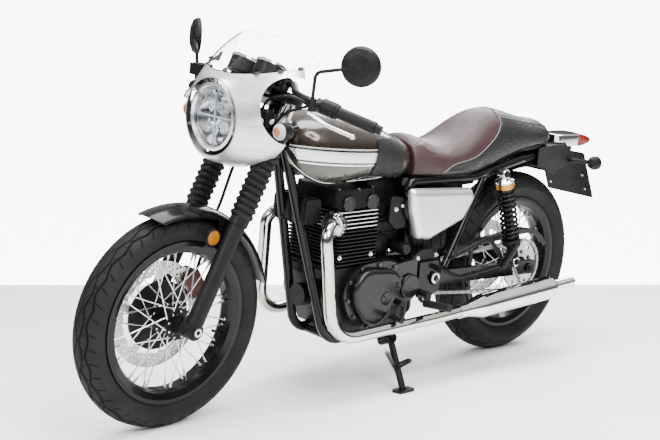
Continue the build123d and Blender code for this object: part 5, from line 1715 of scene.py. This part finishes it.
    def signals(self) -> None:
        """Makes the front indicators' lenses and inner bulbs, and the side reflectors' rims."""
        middle = Vector(self.signal)
        lens = lathe(middle, AHEAD, [(19, 23.5), (24, 23), (29, 19), (32.6, 11), (33.6, 0.6)], 32)
        bulb = lathe(middle, AHEAD, [(31.6, 13.5), (33.4, 11.5), (34.8, 6), (35.2, 0.5)], 24)
        edge = [(-10, 24), (-10, 25.4), (0.6, 25.4), (1.6, 24), (1.6, 21.5), (0, 21)]
        rim = lathe(PARKED.fork_point(*self.reflector), LEFT, edge, 40, True)
        self.make("front_signal_lenses", lens.mirrored(), "signal_lens")
        self.make("front_signal_bulbs", bulb.mirrored(), "bulb_amber")
        self.make("reflector_rims", rim.mirrored(), "moulded_black")

    def build(self) -> None:
        """Builds the nose's pieces."""
        self.shop.line_inside("fairing", (1200, 0, 930), "moulded_black")
        self.lamp()
        self.dials()
        self.glass()
        self.screen_bolts()
        self.signals()


@dataclass
class Engine(SubAssembly):
    """The engine's bolts, bright fin edges and fittings."""

    block_x: float = 852.0
    head_low: float = 559.0
    fin_step: float = 12.5
    fins: int = 5
    fin_wide: float = 180.0
    fin_long: float = 246.0
    left_bolts: tuple[Flat, ...] = (
        (896, 332), (891, 391), (847, 428), (770, 433), (700, 419), (669, 376), (705, 307), (757, 242),
        (803, 235), (867, 277))
    head_bolts: tuple[Flat, ...] = ((782, 92), (852, 104), (922, 92), (782, -92), (852, -104), (922, -92))
    cap_places: tuple[Flat, ...] = ((800, 636), (900, 636))
    bright_bolts: tuple[Flat, ...] = (
        (686, 600), (656, 609), (1019, 423), (1000, 379), (930, 470), (800, 470), (640, 300), (700, 262))

    def fin_edges(self) -> None:
        """Makes the bright machined edges of the head's fins."""
        shape = Shape()
        for fin in range(self.fins):
            z = self.head_low + fin * self.fin_step
            rows = []
            for grow, rise in ((-0.6, 0.5), (0.35, 0.5), (0.35, 2.9), (-0.6, 2.9)):
                outline = rounded(self.fin_wide + 2 * grow, self.fin_long + 2 * grow, 26, 8)
                rows.append([Vector((self.block_x + a, b, z + rise)) for a, b in outline])
            shape.add(rings(rows, False, True))
        self.make("fin_edges", shape, "bright_alloy")

    def bolts(self) -> None:
        """Makes the bolts of the side covers and the head cover."""
        shape = Shape()
        for x, z in self.left_bolts:
            shape.add(bolt(Vector((x, 138, z)), LEFT, 6, 7, True))
        shape.add(bolt_ring(Vector((752, -138, 340)), -LEFT, 97, 20, 8, (5, 6)))
        shape.add(bolt_ring(Vector((858, -146, 330)), -LEFT, 53, -60, 5, (4.5, 5)))
        for x, y in self.head_bolts:
            shape.add(bolt(Vector((x, y, 672)), UP, 7, 9, True))
        self.make("cover_bolts", shape, "bolt_dark")

    def side_caps(self) -> None:
        """Makes the round caps of the head cover and the bright bolts on the engine's sides."""
        caps, bolts = Shape(), Shape()
        cap = [(0, 25), (6, 25), (8, 23), (8, 18), (6.4, 17), (6.4, 8)]
        carriers = ("throttle_bodies", "main_frame", "crankcase", "cylinder_block")
        for side in (1, -1):
            way = LEFT * side
            for x, z in self.cap_places:
                spot = self.shop.touch(("cylinder_head",), x, z, side)
                if spot:
                    caps.add(lathe(spot - way * 2, way, cap, 36))
            for x, z in self.bright_bolts:
                spot = self.shop.touch(carriers, x, z, side)
                if spot:
                    bolts.add(bolt(spot - way, way, 5.5, 6))
        self.make("cam_caps", caps, "cover_black")
        self.make("side_bolts", bolts, "bright_alloy")

    def build(self) -> None:
        """Builds the engine's fine pieces."""
        self.fin_edges()
        self.bolts()
        self.side_caps()


@dataclass(frozen=True)
class RibbedBox:
    """A box, or two joined, with a row of ribs."""

    name: str
    finish: str
    boxes: tuple[tuple[Point, Point, float], ...]
    rib: tuple[Point, Point, float]
    step: Point
    ribs: int

    def shape(self) -> Shape:
        """Puts the boxes and their ribs together.

        Returns:
            The whole shape.
        """
        made = Shape()
        for corners in self.boxes:
            made.add(box(*corners))
        low, high, corner = self.rib
        for count in range(self.ribs):
            shift = Vector(self.step) * count
            made.add(box(Vector(low) + shift, Vector(high) + shift, corner))
        return made


@dataclass
class EngineBay(SubAssembly):
    """What fills the frame round the engine: ribbed boxes, starter, seat pan and pivot plates."""

    boxes: tuple[RibbedBox, ...] = (
        RibbedBox("coil_box", "moulded_black", (((976, -78, 574), (1040, 78, 652), 16),),
                  ((984, -70, 570), (1044, -58, 656), 10), (0, 32, 0), 5),
        RibbedBox("battery_box", "moulded_black", (((404, -84, 436), (604, 84, 532), 20),),
                  ((424, -87, 446), (434, 87, 522), 4), (44, 0, 0), 4),
        RibbedBox("electrics_box", "moulded_black",
                  (((332, -74, 594), (446, 74, 690), 18), ((272, -70, 648), (352, 70, 690), 12)),
                  ((350, -77, 606), (358, 77, 680), 3), (32, 0, 0), 3),
        RibbedBox("intake_box", "moulded_black", (((606, -50, 452), (764, 50, 694), 22),),
                  ((616, -54, 470), (756, 54, 478), 3), (0, 0, 36), 6),
        RibbedBox("lower_mount", "cast_black", (((536, -72, 226), (668, 72, 326), 24),),
                  ((548, -76, 232), (555, 76, 318), 3), (24, 0, 0), 5),
    )
    starter: Point = (700.0, -70.0, 478.0)
    starter_line: tuple[Flat, ...] = (
        (0, 26), (6, 34), (20, 36), (22, 33), (118, 33), (120, 36), (132, 36), (138, 26))
    pan_rows: tuple[Point, ...] = (
        (606, 88, 700), (500, 112, 698), (380, 118, 698), (262, 108, 715), (60, 94, 763), (-80, 70, 769),
        (-140, 40, 776))
    strip_foot: float = 704.0
    strip_arch: tuple[Flat, ...] = ((66, 704), (70, 738), (62, 772), (34, 792))
    strip_top: float = 797.0
    strip_rows: tuple[Flat, ...] = ((592, 0.94), (596, 1.0), (622, 1.0), (626, 0.94))
    plate: tuple[Flat, ...] = (
        (600, 442), (560, 460), (500, 450), (470, 400), (482, 330), (520, 276), (556, 282), (580, 330),
        (640, 396))
    plate_face: float = 129.0
    plate_bolts: tuple[Flat, ...] = ((586, 432), (500, 436), (540, 292))
    pivot: Flat = (518.0, 364.0)
    inspection: tuple[Point, ...] = ((754, 328, 22), (706, 366, 11))

    def seat_pan(self) -> Shape:
        """Makes the pan under the cushion."""
        rows = []
        for x, half, low in self.pan_rows:
            left = ((half, 6), (half + 2, 0), (half - 6, -12))
            right = ((-y, z) for y, z in reversed(left))
            rows.append([Vector((x, y, low + z)) for y, z in (*left, *right)])
        return rings(rows)

    def seat_strip(self) -> Shape:
        """Makes the soft strip that closes the slit between the seat and the tank."""
        left = [(0, y, z) for y, z in self.strip_arch]
        right = [(0, -y, z) for y, z in reversed(self.strip_arch)]
        arch = smooth_path([*left, (0, 0, self.strip_top), *right], 5)
        foot = self.strip_foot
        rows = []
        for x, shrink in self.strip_rows:
            rows.append([Vector((x, spot.y * shrink, foot + (spot.z - foot) * shrink)) for spot in arch])
        return rings(rows)

    def pivot_plates(self) -> Shape:
        """Makes the plates that carry the swingarm's pivot."""
        path = smooth_path([(x, 0, z) for x, z in self.plate], 4, True)
        outline = [(spot.x, spot.z) for spot in path]
        return slab(outline, LEFT * (self.plate_face - 8), AHEAD, UP, -8).mirrored()

    def pivot_caps(self) -> Shape:
        """Makes the rings on the pivot's ends and the plates' bolts."""
        x, z = self.pivot
        ring = [(0, 9), (0, 19), (4, 19), (5, 17), (5, 12), (2, 9)]
        caps = Shape()
        for side in (1, -1):
            way = LEFT * side
            met = self.shop.touch(("main_frame", "swingarm"), x, z, side)
            spot = met or Vector((x, side * self.plate_face, z))
            caps.add(lathe(spot - way, way, ring, 28, True))
            for bolt_x, bolt_z in self.plate_bolts:
                caps.add(bolt(Vector((bolt_x, side * self.plate_face, bolt_z)), way, 6, 6))
        return caps

    def inspection_caps(self) -> Shape:
        """Makes the slotted caps on the left engine cover."""
        caps = Shape()
        across, along = Vector((0.7, 0, 0.7)), Vector((-0.7, 0, 0.7))
        for x, z, r in self.inspection:
            caps.add(lathe(Vector((x, 165, z)), LEFT, [(0, r), (2.4, r), (3, r - 1.5), (1.6, r - 4)], 32))
            caps.add(slab(rounded(1.2 * r, 3, 1, 2), Vector((x, 168.6, z)), across, along, 2))
        return caps

    def build(self) -> None:
        """Builds the bay's pieces."""
        for ribbed in self.boxes:
            self.make(ribbed.name, ribbed.shape(), ribbed.finish, 35, 1.0)
        starter = lathe(Vector(self.starter), LEFT, list(self.starter_line), 36)
        starter.add(lathe(Vector((636, 60, 466)), LEFT, [(0, 20), (60, 20), (66, 16)], 28))
        self.make("starter_motor", starter, "cast_black")
        self.make("seat_pan", self.seat_pan(), "moulded_black")
        self.make("seat_strip", self.seat_strip(), "soft_rubber", 50)
        self.make("pivot_plates", self.pivot_plates(), "satin_black", 35, 1.5)
        self.make("pivot_caps", self.pivot_caps(), "bright_alloy")
        self.make("inspection_caps", self.inspection_caps(), "cover_black")


@dataclass
class Cables(SubAssembly):
    """Cables and wiring that turn with the bars, behind the lamp."""

    body: Body = Body.STEERING
    routes: tuple[tuple[Point, ...], ...] = (
        ((1196, 232, 962), (1244, 196, 990), (1262, 120, 968), (1232, 62, 900), (1196, 44, 846)),
        ((1196, -232, 962), (1246, -190, 996), (1262, -112, 972), (1234, -56, 902), (1198, -36, 846)),
        ((1190, -222, 960), (1238, -180, 986), (1252, -100, 962), (1226, -48, 896), (1192, -28, 846)),
        ((1170, 216, 968), (1214, 158, 940), (1228, 120, 900), (1216, 84, 868), (1204, 60, 846)),
        ((1170, -216, 968), (1214, -158, 940), (1228, -120, 900), (1216, -84, 868), (1204, -60, 846)),
    )
    radius: float = 4.2

    def build(self) -> None:
        """Builds the cables and the wiring box."""
        shape = Shape()
        for route in self.routes:
            shape.add(tube(smooth_path(list(route), 10), self.radius, 10))
        self.make("bar_cables", shape, "soft_rubber", 60)
        wiring = box((1206, -92, 858), (1240, 92, 934), 12)
        wiring.add(box((1222, -70, 840), (1252, 70, 880), 10))
        self.make("wiring_box", wiring, "moulded_black", 35, 1.0)


@dataclass
class Exhaust(SubAssembly):
    """The port flanges, clamps and muffler bands."""

    port: Point = (948.0, 116.0, 578.0)
    port_way: Point = (0.92, 0.38, 0.0)
    muffler_front: Point = (452.0, 208.0, 252.0)
    muffler_rear: Point = (-134.0, 226.0, 289.0)
    muffler_r: float = 40.5

    def build(self) -> None:
        """Builds the exhaust's trim."""
        port, way = Vector(self.port), Vector(self.port_way).normalized()
        flange, bands = Shape(), Shape()
        turn = frame_of(way).to_3x3()
        right, up = turn @ AHEAD, turn @ LEFT
        star = []
        for tooth in range(20):
            for share, radius in ((0.0, 33), (0.3, 40), (0.62, 40), (0.92, 33)):
                angle = 2 * pi * (tooth + share) / 20
                star.append((radius * cos(angle), radius * sin(angle)))
        for step in (1.5, 12.5):
            flange.add(slab(star, port + way * step, right, up, 8))
        front, rear = Vector(self.muffler_front), Vector(self.muffler_rear)
        run = (rear - front).normalized()
        whole = (rear - front).length
        for along in (whole * 0.3, whole * 0.52):
            spot = front + run * along + Vector((0, self.muffler_r * 0.99, -3))
            bands.add(bolt(spot, LEFT, 5, 3))
        inner, outer = self.muffler_r, self.muffler_r + 1.1
        band = [(0, inner), (0, outer), (10, outer), (10, inner)]
        bands.add(lathe(front + run * (whole * 0.62), run, band, 48, True))
        self.make("port_flanges", flange.mirrored(), "chrome")
        self.make("muffler_trim", bands.mirrored(), "chrome")


@dataclass
class Tail(SubAssembly):
    """The tail lamp's lens and chrome, and the plate holder's fasteners."""

    lamp_side: tuple[Flat, ...] = (
        (-176, 764), (-176, 799), (-322, 797.5), (-340, 788), (-322, 746), (-242, 745), (-228, 764))
    lens_side: tuple[Flat, ...] = (
        (-322, 797.5), (-364, 789), (-390, 779), (-391, 760), (-352, 748), (-322, 746))
    plate_foot: Point = (-373.0, 0.0, 558.5)
    plate_way: Point = (87.0, 0.0, 174.0)
    plate_edge: tuple[Flat, ...] = ((3, -101), (3, 101), (190, 101), (190, -101))
    half: float = 57.0

    def side_form(self, outline: tuple[Flat, ...]) -> Shape:
        """Makes a rounded form from a side outline.

        Args:
            outline: Its corners ahead and up.

        Returns:
            A form that narrows towards both sides.
        """
        corners = [Vector((x, 0, z)) for x, z in outline]
        middle = sum(corners, Vector()) / len(corners)
        rows = []
        for step in range(13):
            angle = pi * step / 12
            across = self.half * cos(angle)
            shrink = 0.6 + 0.4 * sin(angle) ** 0.6 if 0 < step < 12 else 0.6
            rows.append([middle + (spot - middle) * shrink + LEFT * across for spot in corners])
        return rings(rows)

    def build(self) -> None:
        """Builds the tail's pieces."""
        body = self.make("tail_lamp_body", self.side_form(self.lamp_side), "chrome", 40, 2)
        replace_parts(body, "tail_lamp")
        self.make("tail_lamp_lens", self.side_form(self.lens_side), "red_lens", 50, 2)
        bolts, rim = Shape(), Shape()
        along, foot = Vector(self.plate_way).normalized(), Vector(self.plate_foot)
        way = Vector((-along.z, 0, along.x))
        for y in (-80, 80):
            for step in (34, 96, 158):
                for face in (way, -way):
                    bolts.add(bolt(foot + LEFT * y + along * step + face * 2.9, face, 5, 3, True))
        edge = [foot + along * step + LEFT * y for step, y in self.plate_edge]
        sides = zip(edge, edge[1:] + edge[:1])
        rim.add(tube([a.lerp(b, share) for a, b in sides for share in (0.02, 0.98)], 4.2, 8, True))
        for step in (52, 70, 120):
            rim.add(tube([foot + along * step + LEFT * y for y in (-60, 0, 60)], 3.8, 8))
        self.make("plate_rim", rim, "moulded_black", 50)
        self.make("plate_bolts", bolts, "bright_alloy")


@dataclass
class Tank(SubAssembly):
    """The tank's bright lower seam and the ring round the filler."""

    seam: tuple[Point, ...] = (
        (1104, 44, 800), (1080, 68, 753), (1000, 94, 707), (880, 102, 705), (760, 96, 707), (626, 74, 713))
    filler: Point = (940.0, 0.0, 929.6)
    filler_ring: float = 27.0

    def build(self) -> None:
        """Builds the tank's trim."""
        seam = tube(smooth_path(list(self.seam), 10), 1.7, 8).mirrored()
        self.make("tank_seam", seam, "chrome", 60)
        ring = Shape()
        for a, b in circle(self.filler_ring, 6):
            ring.add(bolt(Vector(self.filler) + AHEAD * a + LEFT * b, UP, 2.6, 2, True))
        self.make("filler_bolts", ring, "bolt_dark")


@dataclass
class Stand(SubAssembly):
    """The side stand's return spring with short straight ends."""

    body: Body = Body.STAND
    top: Point = (717.0, 152.0, 140.0)
    low: Point = (690.0, 178.0, 80.0)
    radius: float = 7.0
    wire: float = 1.7
    turns: int = 14

    def build(self) -> None:
        """Builds the spring."""
        top, low = Vector(self.top), Vector(self.low)
        turn = Matrix.Translation(low) @ frame_of(top - low)
        whole = (top - low).length
        spots = [turn @ Vector((0, 0, -10))]
        count = self.turns * 14
        for step in range(count + 1):
            angle = 2 * pi * self.turns * step / count
            place = (self.radius * cos(angle), self.radius * sin(angle), whole * step / count)
            spots.append(turn @ Vector(place))
        spots.append(turn @ Vector((0, 0, whole + 10)))
        self.make("stand_spring", tube(spots, self.wire, 8), "bolt_dark", 60)


@dataclass
class Studio:
    """The pale floor, the soft lights and the camera at the photo's view."""

    eye: Point = (2.6728, 2.7528, 1.0524)
    yaw: float = -131.81
    pitch: float = -7.53
    lens: float = 65.2
    floor_far: float = 1.77
    floor_near: float = 9.0
    floor_half: float = 9.0
    room: float = 1.1
    wall: float = 9.0
    lit: Point = (0.0, 0.0, 0.5)
    lights: tuple[tuple[str, Point, float, float], ...] = (
        ("key", (1.2, 3.4, 3.2), 2.2, 250), ("front", (3.6, 0.6, 2.4), 1.6, 110),
        ("rim", (-2.8, -1.6, 2.8), 2.2, 140), ("top", (0.0, 0.4, 3.8), 2.8, 360))
    pale: Finish = Finish("pale_floor", "floor", (0.94, 0.95, 0.935), (0.9, 0.91, 0.895), (0.45, 0.65),
                          60, 0.05, patch=1.2)

    @staticmethod
    def aimed(spot: Point, way: Vector) -> Matrix:
        """Finds the matrix of a light or camera that looks along a way from a spot."""
        return Matrix.Translation(spot) @ way.to_track_quat("-Z", "Y").to_matrix().to_4x4()

    def camera(self) -> None:
        """Sets up the camera."""
        data = bpy.data.cameras.new("view")
        data.lens = self.lens
        data.sensor_width = 36.0
        data.dof.use_dof = False
        eye = put("view", data)
        yaw, pitch = radians(self.yaw), radians(self.pitch)
        way = Vector((cos(pitch) * cos(yaw), cos(pitch) * sin(yaw), sin(pitch)))
        eye.matrix_world = self.aimed(self.eye, way)
        bpy.context.scene.camera = eye

    def floor(self, effects: Effects) -> None:
        """Lays the floor, square to the view, with its far edge where the white wall starts.

        Args:
            effects: The shared groups.
        """
        mesh = bpy.data.meshes.new("floor")
        away = Vector((cos(radians(self.yaw)), sin(radians(self.yaw)), 0))
        side = Vector((-away.y, away.x, 0)) * self.floor_half
        far, near = away * self.floor_far, away * -self.floor_near
        mesh.from_pydata([near - side, near + side, far + side, far - side], [], [(3, 2, 1, 0)])
        plane = put("floor", mesh)
        mesh.materials.append(self.pale.build(effects))

    def light(self, name: str, spot: Point, size: float, power: float) -> None:
        """Hangs one soft light that faces the bike.

        Args:
            name: Its name.
            spot: Where it hangs.
            size: Its width.
            power: Its strength in watts.
        """
        data = bpy.data.lights.new(name, "AREA")
        data.shape = "DISK"
        data.size = size
        data.energy = power
        lamp = put(name, data)
        lamp.matrix_world = self.aimed(spot, Vector(self.lit) - Vector(spot))

    def sky(self) -> None:
        """Makes the white room."""
        world = bpy.data.worlds.new("room")
        bpy.context.scene.world = world
        world.use_nodes = True
        bench = Bench(world.node_tree)
        back = world.node_tree.nodes["Background"]
        back.inputs["Color"].default_value = (0.98, 0.99, 1.0, 1.0)
        path = bench.node("LightPath")
        bounces = bench.math("ADD", path.outputs["Glossy Depth"], path.outputs["Diffuse Depth"])
        first = bench.math("LESS_THAN", bounces, 0.5)
        straight = bench.math("MULTIPLY", path.outputs["Is Transmission Ray"], first)
        seen = bench.math("MAXIMUM", path.outputs["Is Camera Ray"], straight)
        height = bench.node("SeparateXYZ")
        bench.feed(height.inputs[0], bench.node("TexCoord").outputs["Generated"])
        band = bench.math("ABSOLUTE", bench.math("SUBTRACT", height.outputs[2], 0.08))
        glow = bench.span(band, 0.05, 0.45, self.room * 0.12, self.room)
        wall = bench.math("MULTIPLY", seen, self.wall)
        bench.feed(back.inputs["Strength"], bench.math("ADD", wall, glow))

    def build(self, effects: Effects) -> None:
        """Builds the studio.

        Args:
            effects: The shared groups.
        """
        self.camera()
        self.floor(effects)
        self.sky()
        for light in self.lights:
            self.light(*light)


def main() -> None:
    """Loads the solids, builds each sub-assembly in order and reports the pieces."""
    logging.basicConfig(level=logging.INFO, format="%(name)s: %(message)s")
    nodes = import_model()["nodes"]
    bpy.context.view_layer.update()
    shop = Workshop.open(nodes)
    shop.dress_solids()
    front = Wheel(shop, Body.FRONT_WHEEL, centre=(1465, 0, 318), tyre_r=318, tyre_half=50, rim_r=241,
                  rim_half=36, flange_y=37, disc_y=-62, disc_r=160, disc_inner=121, disc_lug=90)
    rear = Wheel(shop, Body.REAR_WHEEL, centre=(0, 0, 332), tyre_r=332, tyre_half=65, rim_r=241,
                 rim_half=44, flange_y=42, disc_y=-78, disc_r=135, disc_inner=98, disc_lug=50)
    kinds = (Drive, Shocks, Cushion, Nose, Cables, Engine, EngineBay, Exhaust, Tail, Tank, Stand)
    for group in (front, rear, *(kind(shop) for kind in kinds)):
        before = shop.made
        group.build()
        LOG.info("%s: %d pieces", type(group).__name__, shop.made - before)
    Studio().build(shop.effects)


if __name__ == "__main__":
    main()
